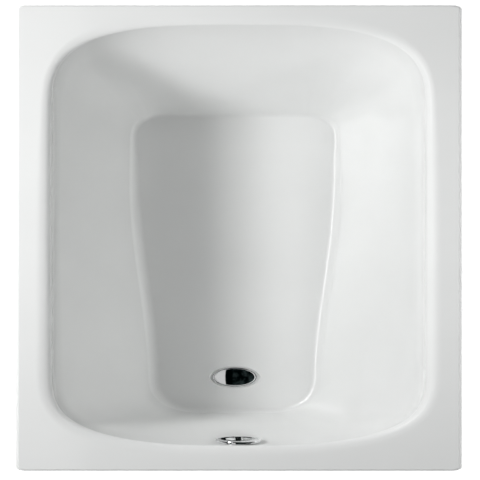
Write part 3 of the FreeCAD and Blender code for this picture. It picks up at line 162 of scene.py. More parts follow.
def lathe(b, pts, segs=96, mat=0, smooth=True, shape=None, closed=True):
    """Spin (radius, height) points about Z. shape(r, z, angle) -> (r, z)."""
    rings = []
    for r, z in pts:
        if r < 1e-6:
            rings.append([b.point((0, 0, z))])
            continue
        ids = []
        for k in range(segs):
            a = 2 * math.pi * k / segs
            rr, zz = shape(r, z, a) if shape else (r, z)
            ids.append(b.point((rr * math.cos(a), rr * math.sin(a), zz)))
        rings.append(ids)
    n = len(rings)
    for i in range(n if closed else n - 1):
        p, q = rings[i], rings[(i + 1) % n]
        if len(p) == 1 and len(q) == 1:
            continue
        if len(p) == 1:
            for k in range(segs):
                b.face((p[0], q[k], q[(k + 1) % segs]), mat, smooth)
        elif len(q) == 1:
            for k in range(segs):
                b.face((p[(k + 1) % segs], p[k], q[0]), mat, smooth)
        else:
            b.strip(p, q, mat, smooth)


def turned(name, pts, mats, place=None, segs=96, r=0.4, n=3, shape=None, auto=50):
    b = Build()
    lathe(b, soften(pts, r, n), segs, shape=shape)
    return b.object(name, mats, place, auto=auto)


# ------------------------------------------------------------------- materials
def new_mat(name):
    m = bpy.data.materials.new(name)
    m.use_nodes = True
    nt = m.node_tree
    return m, nt, nt.nodes["Principled BSDF"]


def node(nt, kind, **props):
    n = nt.nodes.new(kind)
    for k, v in props.items():
        setattr(n, k, v)
    return n


def coords(nt, scale=(1, 1, 1)):
    tc = node(nt, "ShaderNodeTexCoord")
    mp = node(nt, "ShaderNodeMapping")
    mp.inputs["Scale"].default_value = scale
    nt.links.new(tc.outputs["Object"], mp.inputs["Vector"])
    return mp.outputs["Vector"]


def noise(nt, vec, scale, detail=2.0, rough=0.5):
    n = node(nt, "ShaderNodeTexNoise")
    n.inputs["Scale"].default_value = scale
    n.inputs["Detail"].default_value = detail
    n.inputs["Roughness"].default_value = rough
    nt.links.new(vec, n.inputs["Vector"])
    return n.outputs["Fac"]


def ramp(nt, fac, stops):
    r = node(nt, "ShaderNodeValToRGB")
    els = r.color_ramp.elements
    while len(els) < len(stops):
        els.new(0.5)
    for e, (p, c) in zip(els, stops):
        e.position = p
        e.color = (*c, 1) if len(c) == 3 else c
    nt.links.new(fac, r.inputs["Fac"])
    return r.outputs["Color"]


def grey_ramp(nt, fac, a, b, p0=0.0, p1=1.0):
    return ramp(nt, fac, [(p0, (a, a, a)), (p1, (b, b, b))])


def bump(nt, bsdf, height, strength, distance, after=None):
    n = node(nt, "ShaderNodeBump")
    n.inputs["Strength"].default_value = strength
    n.inputs["Distance"].default_value = distance
    nt.links.new(height, n.inputs["Height"])
    if after is not None:
        nt.links.new(after, n.inputs["Normal"])
    if bsdf is not None:
        nt.links.new(n.outputs["Normal"], bsdf.inputs["Normal"])
    return n.outputs["Normal"]


def tint(c, k):
    return tuple(min(1.0, v * k) for v in c)


def enamel_material():
    m, nt, p = new_mat("white_enamel")
    v = coords(nt)
    cloud = noise(nt, v, 5.0, 3.0)
    c = (0.86, 0.868, 0.862)
    nt.links.new(
        ramp(nt, cloud, [(0.3, tint(c, 0.985)), (0.7, tint(c, 1.01))]),
        p.inputs["Base Color"],
    )
    nt.links.new(grey_ramp(nt, noise(nt, v, 60.0, 2.0), 0.13, 0.17), p.inputs["Roughness"])
    p.inputs["IOR"].default_value = 1.5
    p.inputs["Coat Weight"].default_value = 0.25
    p.inputs["Coat Roughness"].default_value = 0.04
    wave = bump(nt, None, noise(nt, v, 11.0, 1.0), 0.25, 0.0012)
    bump(nt, p, noise(nt, v, 260.0, 1.0), 0.12, 0.00012, after=wave)
    return m


def ground_coat_material():
    """Dark speckled ground coat on the side of the sheet that isn't seen."""
    m, nt, p = new_mat("ground_coat")
    v = coords(nt)
    speck = node(nt, "ShaderNodeTexVoronoi")
    speck.inputs["Scale"].default_value = 420.0
    speck.inputs["Randomness"].default_value = 1.0
    nt.links.new(v, speck.inputs["Vector"])
    fine = noise(nt, v, 190.0, 3.0)
    mix = node(nt, "ShaderNodeMath", operation="ADD")
    nt.links.new(speck.outputs["Distance"], mix.inputs[0])
    nt.links.new(fine, mix.inputs[1])
    base = ramp(
        nt,
        mix.outputs[0],
        [
            (0.50, (0.42, 0.44, 0.46)),
            (0.60, (0.16, 0.175, 0.19)),
            (0.72, (0.075, 0.085, 0.1)),
            (1.0, (0.06, 0.068, 0.08)),
        ],
    )
    nt.links.new(base, p.inputs["Base Color"])
    nt.links.new(grey_ramp(nt, noise(nt, v, 30.0, 3.0), 0.28, 0.42), p.inputs["Roughness"])
    wave = bump(nt, None, noise(nt, v, 14.0, 2.0), 0.3, 0.0012)
    bump(nt, p, fine, 0.25, 0.0003, after=wave)
    return m


def metal_material(name, colour, r0, r1, scratch, grain=(1, 1, 1), gscale=300.0, spots=0.0):
    m, nt, p = new_mat(name)
    v = coords(nt)
    p.inputs["Metallic"].default_value = 1.0
    cloud = noise(nt, v, 22.0, 3.0)
    nt.links.new(
        ramp(nt, cloud, [(0.25, tint(colour, 1 - 0.06 - spots)), (0.75, colour)]),
        p.inputs["Base Color"],
    )
    g = noise(nt, coords(nt, grain), gscale, 3.0)
    nt.links.new(grey_ramp(nt, g, r0, r1, 0.3, 0.7), p.inputs["Roughness"])
    bump(nt, p, g, scratch, 0.00006)
    return m


def plastic_material(name, colour, r0, r1, spread=0.04, grain=0.2, gscale=500.0, gdist=0.0001, coat=0.0):
    m, nt, p = new_mat(name)
    v = coords(nt)
    nt.links.new(
        ramp(
            nt,
            noise(nt, v, 18.0, 4.0),
            [(0.3, tint(colour, 1 - spread)), (0.7, tint(colour, 1 + spread))],
        ),
        p.inputs["Base Color"],
    )
    nt.links.new(grey_ramp(nt, noise(nt, v, 90.0, 3.0), r0, r1, 0.3, 0.7), p.inputs["Roughness"])
    bump(nt, p, noise(nt, v, gscale, 2.0), grain, gdist)
    if coat:
        p.inputs["Coat Weight"].default_value = coat
    return m


def mat_material():
    """Bitumen mat: dark, matt, coarse and slightly dusty."""
    m, nt, p = new_mat("bitumen_mat")
    v = coords(nt)
    dust = noise(nt, v, 24.0, 5.0, 0.7)
    nt.links.new(
        ramp(nt, dust, [(0.35, (0.035, 0.035, 0.038)), (0.75, (0.085, 0.085, 0.088))]),
        p.inputs["Base Color"],
    )
    nt.links.new(grey_ramp(nt, dust, 0.72, 0.92), p.inputs["Roughness"])
    n1 = bump(nt, None, noise(nt, v, 60.0, 4.0), 0.5, 0.0012)
    bump(nt, p, noise(nt, v, 700.0, 2.0), 0.5, 0.0003, after=n1)
    return m


ENAMEL = enamel_material()
GROUND = ground_coat_material()
CHROME = metal_material("chrome", (0.86, 0.87, 0.875), 0.02, 0.05, 0.03)
ZINC = metal_material("zinc_steel", (0.66, 0.67, 0.69), 0.26, 0.42, 0.25, (1, 1, 1), 260.0, 0.06)
BRASS = metal_material("brass", (0.78, 0.60, 0.32), 0.16, 0.3, 0.2, (1, 1, 6), 260.0)
GREY = plastic_material("grey_plastic", (0.42, 0.43, 0.44), 0.36, 0.5)
WHITE = plastic_material("white_plastic", (0.78, 0.78, 0.765), 0.3, 0.42, 0.02, 0.12)
BLACK = plastic_material("black_plastic", (0.022, 0.022, 0.024), 0.36, 0.55, 0.2, 0.3)
RUBBER = plastic_material("rubber", (0.028, 0.028, 0.029), 0.6, 0.78, 0.2, 0.35, 700.0)
MAT = mat_material()
SLOTS = {
    "enamel": ENAMEL,
    "chrome": CHROME,
    "zinc_steel": ZINC,
    "grey_plastic": GREY,
    "white_plastic": WHITE,
    "black_plastic": BLACK,
    "rubber": RUBBER,
    "mat": MAT,
    "brass": BRASS,
}
node_slot = {s["node"]: s["material_slot"] for s in frame["record"]["subparts"]}
for name, o in NODES.items():
    o.data.materials.clear()
    o.data.materials.append(SLOTS[node_slot[name]])


def piece(o, body, slot, *nodes):
    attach(o, body)
    if nodes:
        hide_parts(*nodes)
    return o


# ------------------------------------------------------------- basin geometry
def quarter(half, y_side, y_end, flat, p, q, n=400):
    pts = [(0.0, y_end)]
    if flat > 0:
        pts.append((flat, y_end))
    for i in range(1, n + 1):
        a = math.pi / 2 * (1 - i / n)
        x = flat + (half - flat) * max(math.cos(a), 0.0) ** (2.0 / p)
        y = y_side + (y_end - y_side) * max(math.sin(a), 0.0) ** (2.0 / q)
        pts.append((x, y))
    return pts


def top_outline():
    head = quarter(TOP_HALF, 450.0, TOP_HEAD, 0.0, 3.05, 3.4)
    foot = quarter(TOP_HALF, 420.0, TOP_FOOT, 40.0, 2.05, 4.4)
    side = [(TOP_HALF, 450.0 - k * 10.0) for k in range(1, 87)]
    return head + side + [(x, -y) for x, y in reversed(foot)]


def floor_half(y):
    u = min(max((200.0 - y) / 740.0, 0.0), 1.0)
    s = u * u * (3 - 2 * u)
    return BOT_HALF_HEAD + (BOT_HALF_FOOT - BOT_HALF_HEAD) * s


def bottom_outline():
    head = quarter(BOT_HALF_HEAD, 345.0, BOT_HEAD, 85.0, 3.2, 3.2)
    foot = quarter(BOT_HALF_FOOT, 505.0, BOT_FOOT, 45.0, 2.4, 2.4)
    side = [(floor_half(345.0 - k * 5.0), 345.0 - k * 5.0) for k in range(1, 170)]
    return head + side + [(x, -y) for x, y in reversed(foot)]


def lengths(pts):
    s = [0.0]
    for a, b in zip(pts, pts[1:]):
        s.append(s[-1] + math.hypot(b[0] - a[0], b[1] - a[1]))
    return s


def at_length(pts, s, want):
    lo, hi = 0, len(s) - 1
    while hi - lo > 1:
        mid = (lo + hi) // 2
        if s[mid] <= want:
            lo = mid
        else:
            hi = mid
    f = (want - s[lo]) / max(s[hi] - s[lo], 1e-9)
    return (
        pts[lo][0] + (pts[hi][0] - pts[lo][0]) * f,
        pts[lo][1] + (pts[hi][1] - pts[lo][1]) * f,
    )


def length_at_turn(pts, s, deg):
    for i in range(1, len(pts) - 1):
        a, b = pts[i], pts[i + 1]
        turn = math.degrees(math.atan2(-(b[1] - a[1]), b[0] - a[0]))
        if turn >= deg:
            return s[i]
    return s[-1]


def smooth_map(xs, ys):
    n = len(xs)
    d = [(ys[i + 1] - ys[i]) / (xs[i + 1] - xs[i]) for i in range(n - 1)]
    m = [d[0]] + [0.0] * (n - 2) + [d[-1]]
    for i in range(1, n - 1):
        if d[i - 1] * d[i] > 0:
            w1 = 2 * (xs[i + 1] - xs[i]) + (xs[i] - xs[i - 1])
            w2 = (xs[i + 1] - xs[i]) + 2 * (xs[i] - xs[i - 1])
            m[i] = (w1 + w2) / (w1 / d[i - 1] + w2 / d[i])

    def f(x):
        i = 0
        while i < n - 2 and x > xs[i + 1]:
            i += 1
        w = xs[i + 1] - xs[i]
        u = (x - xs[i]) / w
        return (
            (1 + 2 * u) * (1 - u) ** 2 * ys[i]
            + u * (1 - u) ** 2 * w * m[i]
            + u * u * (3 - 2 * u) * ys[i + 1]
            + u * u * (u - 1) * w * m[i + 1]
        )

    return f


TOP, BOT = top_outline(), bottom_outline()
TOP_S, BOT_S = lengths(TOP), lengths(BOT)
MARKS = (12.0, 45.0, 80.0, 100.0, 135.0, 168.0)
top_marks = [0.0] + [length_at_turn(TOP, TOP_S, d) for d in MARKS] + [TOP_S[-1]]
bot_marks = [0.0] + [length_at_turn(BOT, BOT_S, d) for d in MARKS] + [BOT_S[-1]]
mid_marks = [(a + b) / 2 for a, b in zip(top_marks, bot_marks)]
top_of, bot_of = smooth_map(mid_marks, top_marks), smooth_map(mid_marks, bot_marks)
SPAN = mid_marks[-1]
STATIONS = 72


def station(mu):
    b = at_length(BOT, BOT_S, bot_of(mu))
    q = at_length(TOP, TOP_S, top_of(mu))
    if mu <= 0:
        b, q = (0.0, BOT[0][1]), (0.0, TOP[0][1])
    if mu >= SPAN:
        b, q = (0.0, BOT[-1][1]), (0.0, TOP[-1][1])
    return b, q


def floor_at(y):
    return FLOOR_Z + FALL * (y - WASTE_Y)


def meet(p, d, q, e):
    det = d[0] * -e[1] + e[0] * d[1]
    rx, rz = q[0] - p[0], q[1] - p[1]
    a = (rx * -e[1] + e[0] * rz) / det
    return (p[0] + a * d[0], p[1] + a * d[1])


def beside(mu):
    """1 along the sides, 0 at both ends."""
    m = mid_marks
    u = (mu - m[1]) / (m[3] - m[1]) if mu < m[3] else (m[6] - mu) / (m[6] - m[4])
    u = min(max(u, 0.0), 1.0)
    return u * u * (3 - 2 * u)


def upright(mu):
    """How much of the upper bend the wall has at this station."""
    e = beside(mu)
    return 0.45 + 0.55 * e if mu < mid_marks[3] else e


def profile(mu, under):
    """Eleven control points of the section: crease 0-3, wall 3-4, upper bend
    4-7, roll 7-10."""
    b, q = station(mu)
    dx, dy = q[0] - b[0], q[1] - b[1]
    run = math.hypot(dx, dy)
    dx, dy = dx / run, dy / run
    zb = floor_at(b[1])
    slope = FALL * dy
    fn = math.hypot(1, slope)
    f = (-1 / fn, -slope / fn)
    base, lip = (0.0, zb), (run, RIM_Z)
    steep = math.atan2(run, RIM_Z - zb) - math.radians(EASE_TURN) * upright(mu)
    v = (math.sin(steep), math.cos(steep))
    bend = (lip[0] - EASE_AT * v[0], lip[1] - EASE_AT * v[1])
    w = (bend[0], bend[1] - zb)
    wn = math.hypot(*w)
    w = (w[0] / wn, w[1] / wn)
    if under:
        n1, n2 = (w[1], -w[0]), (v[1], -v[0])
        k = under / (1 + n1[0] * n2[0] + n1[1] * n2[1])
        base = meet((0.0, zb - under), f, (n1[0] * under, zb + n1[1] * under), w)
        lip = meet((0.0, RIM_Z - under), (1.0, 0.0), (lip[0] + n2[0] * under, lip[1] + n2[1] * under), v)
        bend = (bend[0] + (n1[0] + n2[0]) * k, bend[1] + (n1[1] + n2[1]) * k)
    rb, rt = CREASE + under, ROLL - under
    ang = math.acos(max(-1, min(1, f[0] * w[0] + f[1] * w[1])))
    tb = rb / math.tan(ang / 2)
    hb = 4.0 / 3.0 * math.tan((math.pi - ang) / 4) * rb
    ang2 = math.acos(max(-1, min(1, -v[0])))
    tt = rt / math.tan(ang2 / 2)
    te = math.hypot(lip[0] - bend[0], lip[1] - bend[1]) - tt
    tr = SOFT_END + (SOFT_SIDE - SOFT_END) * beside(mu) - under / math.tan(ang2 / 2)
    a0 = (base[0] + tb * f[0], base[1] + tb * f[1])
    a3 = (base[0] + tb * w[0], base[1] + tb * w[1])
    a1 = (a0[0] - hb * f[0], a0[1] - hb * f[1])
    a2 = (a3[0] - hb * w[0], a3[1] - hb * w[1])
    e0 = (bend[0] - te * w[0], bend[1] - te * w[1])
    e1 = (bend[0] - te / 3 * w[0], bend[1] - te / 3 * w[1])
    e2 = (bend[0] + te / 3 * v[0], bend[1] + te / 3 * v[1])
    c0 = (lip[0] - tt * v[0], lip[1] - tt * v[1])
    c1 = (lip[0] - 0.3 * tt * v[0], lip[1] - 0.3 * tt * v[1])
    c2 = (lip[0] + 0.42 * tr, lip[1])
    c3 = (lip[0] + tr, lip[1])
    return [
        (b[0] + dx * h, b[1] + dy * h, z)
        for h, z in (a0, a1, a2, a3, e0, e1, e2, c0, c1, c2, c3)
    ]


def spline_rows(under, per=4):
    """Cubic spline of each control row through the stations; (11, n, 3)."""
    h = SPAN / STATIONS
    P = np.array([profile(SPAN * i / STATIONS, under) for i in range(STATIONS + 1)])
    P[0, :, 0] = 0.0
    P[-1, :, 0] = 0.0
    n = STATIONS + 1
    A = np.zeros((n, n))
    R = np.zeros((n, 11, 3))
    A[0, 0] = A[-1, -1] = 1.0
    R[0, :, 0] = P[1, :, 0] / h
    R[-1, :, 0] = -P[-2, :, 0] / h
    for i in range(1, n - 1):
        A[i, i - 1 : i + 2] = (1, 4, 1)
        R[i] = 3 * (P[i + 1] - P[i - 1]) / h
    D = np.linalg.solve(A, R.reshape(n, -1)).reshape(n, 11, 3)
    rows = []
    for i in range(STATIONS):
        for k in range(per):
            u = k / per
            rows.append(
                (1 + 2 * u) * (1 - u) ** 2 * P[i]
                + u * (1 - u) ** 2 * h * D[i]
                + u * u * (3 - 2 * u) * P[i + 1]
                + u * u * (u - 1) * h * D[i + 1]
            )
    rows.append(P[-1])
    return np.array(rows).transpose(1, 0, 2)


def section_rows(under):
    """Rows of the basin's face from the floor line up to the rim."""
    K = spline_rows(under)

    def bez(k, t):
        return (
            (1 - t) ** 3 * K[k]
            + 3 * t * (1 - t) ** 2 * K[k + 1]
            + 3 * t * t * (1 - t) * K[k + 2]
            + t**3 * K[k + 3]
        )

    rows = [bez(0, i / 12) for i in range(13)]
    rows += [K[3] * (1 - i / 14) + K[4] * i / 14 for i in range(1, 14)]
    rows += [bez(4, i / 20) for i in range(20)]
    rows += [bez(7, i / 18) for i in range(19)]
    return rows


def full_loop(row):
    """Right half from head to foot, then back up the left side."""
    left = row[1:-1][::-1].copy()
    left[:, 0] *= -1
    return np.vstack([row, left])


foot_b, foot_t = BOT[-1][1], TOP[-1][1]
LEAN = math.atan2(foot_b - foot_t, RIM_Z - floor_at(foot_b))
OUT = Vector((0, math.cos(LEAN), math.sin(LEAN)))
DOWN = Vector((0, math.sin(LEAN), -math.cos(LEAN)))
OVER = Vector((0, foot_t + OVER_DEPTH * math.tan(LEAN), RIM_Z - OVER_DEPTH))


def on_wall(h=0.0):
    """Local Z off the foot wall, local Y down it, at the overflow."""
    m = Matrix((Vector((1, 0, 0)), DOWN, OUT)).transposed().to_4x4()
    m.translation = (OVER + OUT * h) / 1000
    return m


def rounded_rect(inset, z, n=10):
    w, l = RIM_W - inset, RIM_L - inset
    r = max(RIM_CORNER - inset, 0.5)
    pts = []
    for cx, cy, a0 in (
        (w - r, l - r, 90),
        (w - r, -l + r, 0),
        (-w + r, -l + r, -90),
        (-w + r, l - r, -180),
    ):
        for i in range(n + 1):
            a = math.radians(a0 - 90 * i / n)
            pts.append((cx + r * math.cos(a), cy + r * math.sin(a), z))
    out = []
    for i, p in enumerate(pts):
        q = pts[(i + 1) % len(pts)]
        out.append(p)
        d = math.dist(p, q)
        if d > 60:
            k = int(d // 40)
            out += [
                tuple(p[c] + (q[c] - p[c]) * j / k for c in range(3)) for j in range(1, k)
            ]
    return out


def fill_between(b, loops, mat, up):
    """Flat triangles over the plane region bounded by the loops of ids."""
    bm = bmesh.new()
    back = []
    edges = []
    for ids in loops:
        vs = [bm.verts.new(b.v[i]) for i in ids]
        back += ids
        for i in range(len(vs)):
            edges.append(bm.edges.new((vs[i], vs[(i + 1) % len(vs)])))
    bm.verts.index_update()
    bmesh.ops.triangle_fill(bm, use_beauty=True, use_dissolve=False, edges=edges, normal=up)
    bm.verts.index_update()
    for f in bm.faces:
        ids = [back[v.index] for v in f.verts]
        if f.normal.dot(Vector(up)) < 0:
            ids.reverse()
        b.face(ids, mat, False)
    bm.free()


def wall_side(b, under, mat):
    """One face of the basin, with the overflow hole; returns its edge loops."""
    rows = [full_loop(r) for r in section_rows(under)]
    ids = [b.points(r) for r in rows]
    keep_face = {}
    cut = []
    for i in range(len(rows) - 1):
        a, c = ids[i], ids[i + 1]
        n = len(a)
        for j in range(n):
            k = (j + 1) % n
            q = (a[j], a[k], c[k], c[j])
            mid = sum((Vector(b.v[t]) for t in q), Vector()) / 4 - OVER
            rad = (mid - OUT * mid.dot(OUT)).length
            if rad < 31.5 and abs(mid.dot(OUT)) < 12:
                cut.append(q)
                continue
            b.face(q, mat, True)
    # jagged edge of the removed patch, in order
    count = {}
    for q in cut:
        for t in range(4):
            e = (q[t], q[(t + 1) % 4])
            key = tuple(sorted(e))
            count.setdefault(key, []).append(e)
    nxt = {e[0][0]: e[0][1] for e in count.values() if len(e) == 1}
    start = next(iter(nxt))
    loop = [start]
    while nxt[loop[-1]] != start:
        loop.append(nxt[loop[-1]])
    ring = []
    X = Vector((1, 0, 0))
    for k in range(96):
        a = 2 * math.pi * k / 96
        p = OVER + X * OVER_HOLE * math.cos(a) + DOWN * OVER_HOLE * math.sin(a) - OUT * under
        ring.append(b.point(p))
    fill_between(b, [loop, ring], mat, tuple(OUT))
    return ids[0], ids[-1], ring


def circle_pts(r, z_of, n=128):
    return [
        (
            r * math.cos(2 * math.pi * k / n),
            WASTE_Y + r * math.sin(2 * math.pi * k / n),
            z_of(WASTE_Y + r * math.sin(2 * math.pi * k / n)),
        )
        for k in range(n)
    ]


def make_shell():
    b = Build()
    low, high, hole_wet = wall_side(b, 0.0, 0)
    dlow, dhigh, hole_dry = wall_side(b, SHEET, 1)
    # rim: flat top, edge roll, skirt, its bottom edge and its inside
    e = RIM_EDGE
    spec = [(e, RIM_Z)]
    spec += [
        (e - e * math.sin(math.radians(a)), RIM_Z - e + e * math.cos(math.radians(a)))
        for a in (10, 20, 30, 40, 50, 60, 70, 80, 90)
    ]
    z0 = RIM_Z - SKIRT
    spec += [(0.0, z0 + 12), (0.0, z0 + 0.9), (0.25, z0 + 0.25), (0.9, z0)]
    top_edge = b.points(rounded_rect(*spec[0]))
    prev = top_edge
    for s in spec[1:]:
        cur = b.points(rounded_rect(*s))
        b.strip(prev, cur, 0, True)
        prev = cur
    fill_between(b, [high, top_edge], 0, (0, 0, 1))
    inner = [(2.1, z0), (2.75, z0 + 0.25), (3.0, z0 + 0.9), (3.0, z0 + 15), (3.0, RIM_Z - e)]
    inner += [
        (e - (e - SHEET) * math.cos(math.radians(a)), RIM_Z - e + (e - SHEET) * math.sin(math.radians(a)))
        for a in (18, 36, 54, 72, 90)
    ]
    for s in inner:
        cur = b.points(rounded_rect(*s))
        b.strip(prev, cur, 1, True)
        prev = cur
    fill_between(b, [dhigh, prev], 1, (0, 0, -1))
    # waste recess
    ro, ri = DISH_R + 1.6, DISH_R - 2.7

    def ring_at(r, t, under):
        s = t * t * (3 - 2 * t)
        zf = FLOOR_Z - DISH_D - under
        return b.points(circle_pts(r, lambda y: (floor_at(y) - under) * (1 - s) + zf * s))

    for base, under, mat, up, grow in ((low, 0.0, 0, (0, 0, 1), 0.0), (dlow, SHEET, 1, (0, 0, -1), 1.5)):
        prev = ring_at(ro + grow, 0.0, under)
        fill_between(b, [base, prev], mat, up)
        for i in range(1, 11):
            t = i / 10
            cur = ring_at(ro + grow + (ri - ro) * t, t, under)
            b.strip(prev, cur, mat, True)
            prev = cur
        cur = b.points(circle_pts(WASTE_HOLE, lambda y: FLOOR_Z - DISH_D - under))
        b.strip(prev, cur, mat, False)
        if under == 0.0:
            wet_hole = cur
        else:
            dry_hole = cur
    b.strip(wet_hole, dry_hole, 0, False)
    b.strip(hole_wet, hole_dry, 0, False)
    return b.object("bath_shell_visual", [ENAMEL, GROUND], merge=0.0005)


shell = piece(make_shell(), "bath", "enamel", "bath_shell")

# ------------------------------------------------------------ shape builders
def mm_at(x, y, z, axis=(0, 0, 1)):
    """Millimetre matrix: local Z along axis, origin at x, y, z."""
    q = Vector((0, 0, 1)).rotation_difference(Vector(axis).normalized())
    return Matrix.Translation(Vector((x, y, z))) @ q.to_matrix().to_4x4()


def mm_wall():
    """Millimetre matrix of the overflow: local Z off the wall, Y down it."""
    m = Matrix((Vector((1, 0, 0)), DOWN, OUT)).transposed().to_4x4()
    m.translation = OVER
    return m


def smoothstep(x):
    x = min(max(x, 0.0), 1.0)
    return x * x * (3 - 2 * x)


def closed_turn(pts, at=None, segs=64, r=0.4, n=3, shape=None, ends=True):
    """Build with one closed turned shape; the outline is a closed loop."""
    b = Build()
    b.at = at
    lathe(b, soften(pts, r, n), segs, shape=shape)
    return b


def finish_mesh(o, auto):
    me = o.data
    bm = bmesh.new()
    bm.from_mesh(me)
    bmesh.ops.remove_doubles(bm, verts=bm.verts, dist=2e-6)
    bmesh.ops.recalc_face_normals(bm, faces=bm.faces)
    for f in bm.faces:
        f.smooth = True
    for e in bm.edges:
        e.smooth = not (len(e.link_faces) == 2 and e.calc_face_angle(0) > math.radians(auto))
    bm.to_mesh(me)
    bm.free()


def joined(name, mats, add, cut=(), auto=32, inside=()):
    """One skin round all of add, less all of cut, with inside put in last."""
    tools = []
    base = add[0].object(name, mats)
    for kind, builds in (("UNION", add[1:]), ("DIFFERENCE", cut), ("UNION", inside)):
        for b in builds:
            t = b.object(name + "_tool", mats)
            m = base.modifiers.new("join", "BOOLEAN")
            m.operation = kind
            m.solver = "EXACT"
            m.object = t
            tools.append(t)
    bpy.context.view_layer.update()
    dg = bpy.context.evaluated_depsgraph_get()
    me = bpy.data.meshes.new_from_object(base.evaluated_get(dg))
    base.modifiers.clear()
    old = base.data
    base.data = me
    bpy.data.meshes.remove(old)
    me.name = name
    for t in tools:
        d = t.data
        bpy.data.objects.remove(t)
        bpy.data.meshes.remove(d)
    finish_mesh(base, auto)
    return base


def route(points, radii, step=3.0):
    """Straight runs joined by arcs: list of (point, direction)."""
    out = []
    start = points[0]

    def run(a, b, last=False):
        n = max(1, round((b - a).length / step))
        for i in range(n + (1 if last else 0)):
            out.append((a.lerp(b, i / n), (b - a).normalized()))

    for k in range(1, len(points) - 1):
        p, a, b = points[k], points[k - 1], points[k + 1]
        u, v = (a - p).normalized(), (b - p).normalized()
        ang = u.angle(v)
        cut = radii[k - 1] / math.tan(ang / 2)
        s, e = p + u * cut, p + v * cut
        c = p + (u + v).normalized() * (radii[k - 1] / math.sin(ang / 2))
        if (s - start).length > 0.05:
            run(start, s)
        turn = math.pi - ang
        m = max(2, round(radii[k - 1] * turn / step))
        axis = (-u).cross(v).normalized()
        for i in range(m):
            q = Matrix.Rotation(turn * i / m, 3, axis)
            out.append((c + q @ (s - c), q @ -u))
        start = e
    run(start, points[-1], True)
    return out


def swept(b, path, outer, inner=0.0, segs=32, mat=0):
    """Round section along a path; outer(s) or a number gives its radius."""
    t0 = path[0][1]
    n = t0.orthogonal().normalized()
    rings, inside = [], []
    s, last = 0.0, path[0][0]
    for p, t in path:
        s += (p - last).length
        last = p
        n = (n - t * n.dot(t)).normalized()
        w = t.cross(n)
        r = outer(s) if callable(outer) else outer
        for rad, out in ((r, rings), (inner, inside)):
            if rad:
                out.append(
                    b.points(
                        [
                            p + (n * math.cos(2 * math.pi * k / segs) + w * math.sin(2 * math.pi * k / segs)) * rad
                            for k in range(segs)
                        ]
                    )
                )
    for a, c in zip(rings, rings[1:]):
        b.strip(a, c, mat)
    if inner:
        for a, c in zip(inside, inside[1:]):
            b.strip(a, c, mat)
        b.strip(rings[0], inside[0], mat)
        b.strip(rings[-1], inside[-1], mat)
    else:
        for ring, p in ((rings[0], path[0][0]), (rings[-1], path[-1][0])):
            c = b.point(p)
            for k in range(segs):
                b.face((ring[k], ring[(k + 1) % segs], c), mat)
    return s


def path_length(path):
    return sum((b[0] - a[0]).length for a, b in zip(path, path[1:]))


def hex_nut(b, across, z0, z1, bore, segs=72):
    """Hexagon nut with turned chamfers and a countersunk bore."""
    a = across / 2
    rc, cs = a * 0.955, min(0.7, bore * 0.12)

    def hexr(t):
        return a / math.cos((t + math.pi / 6) % (math.pi / 3) - math.pi / 6)

    def ring(r, z):
        ids = []
        for k in range(segs):
            t = 2 * math.pi * k / segs
            rr = hexr(t) if r is None else r
            dz = (rr - rc) * 0.5 if r is None else 0.0
            ids.append(b.point((rr * math.cos(t), rr * math.sin(t), z - dz if z > (z0 + z1) / 2 else z + dz)))
        return ids

    spec = [(bore, z0 + cs), (bore + cs, z0), (rc, z0), (None, z0), (None, z1), (rc, z1), (bore + cs, z1), (bore, z1 - cs)]
    if bore <= 0:
        spec = spec[2:6]
    rings = [ring(r, z) for r, z in spec]
    for p, q in zip(rings, rings[1:]):
        b.strip(p, q)
    if bore > 0:
        b.strip(rings[-1], rings[0])
    else:
        for ids, z in ((rings[0], z0), (rings[-1], z1)):
            c = b.point((0, 0, z))
            for k in range(segs):
                b.face((ids[k], ids[(k + 1) % segs], c))


def thread(b, r, z0, z1, pitch, segs=24, depth=None, taper=(1.0, 1.0), per=5):
    """Right-hand thread with crests at r, solid, closed at both ends."""
    depth = depth or 0.6 * pitch
    n = max(4, round((z1 - z0) / pitch * per))
    pts = [(0, z0)] + [(r, z0 + (z1 - z0) * i / n) for i in range(n + 1)] + [(0, z1)]

    def shape(rr, z, a):
        u = (z / pitch - a / (2 * math.pi)) % 1.0
        k = min(max((1 - abs(2 * u - 1)) * 1.35 - 0.12, 0.0), 1.0)
        rad = r - depth * (1 - k)
        for d, t in ((z - z0, taper[0]), (z1 - z, taper[1])):
            if t > 0 and d < t:
                rad = min(rad, r - depth * 1.05 * (1 - d / t))
        return rad, z

    lathe(b, pts, segs, shape=shape, closed=False)


def ribs(count, depth, r_from, duty=0.5):
    """Shallow grooves along the outside beyond r_from."""

    def shape(r, z, a):
        if r > r_from:
            k = 0.5 + 0.5 * math.cos(count * a)
            r -= depth * (1 - smoothstep((k - (0.5 - duty / 2)) / 0.35))
        return r, z

    return shape


def bar(b, p0, p1, w, h, r=0.5, n=3):
    """Rounded rectangular bar between two points, h along Z."""
    p0, p1 = Vector(p0), Vector(p1)
    t = (p1 - p0).normalized()
    side = t.cross(Vector((0, 0, 1))).normalized()
    pts = soften([(-w / 2, -h / 2), (w / 2, -h / 2), (w / 2, h / 2), (-w / 2, h / 2)], r, n)
    rings = [b.points([p + side * x + Vector((0, 0, z)) for x, z in pts]) for p in (p0, p1)]
    b.strip(rings[0], rings[1])
    b.face(rings[0][::-1])
    b.face(rings[1])


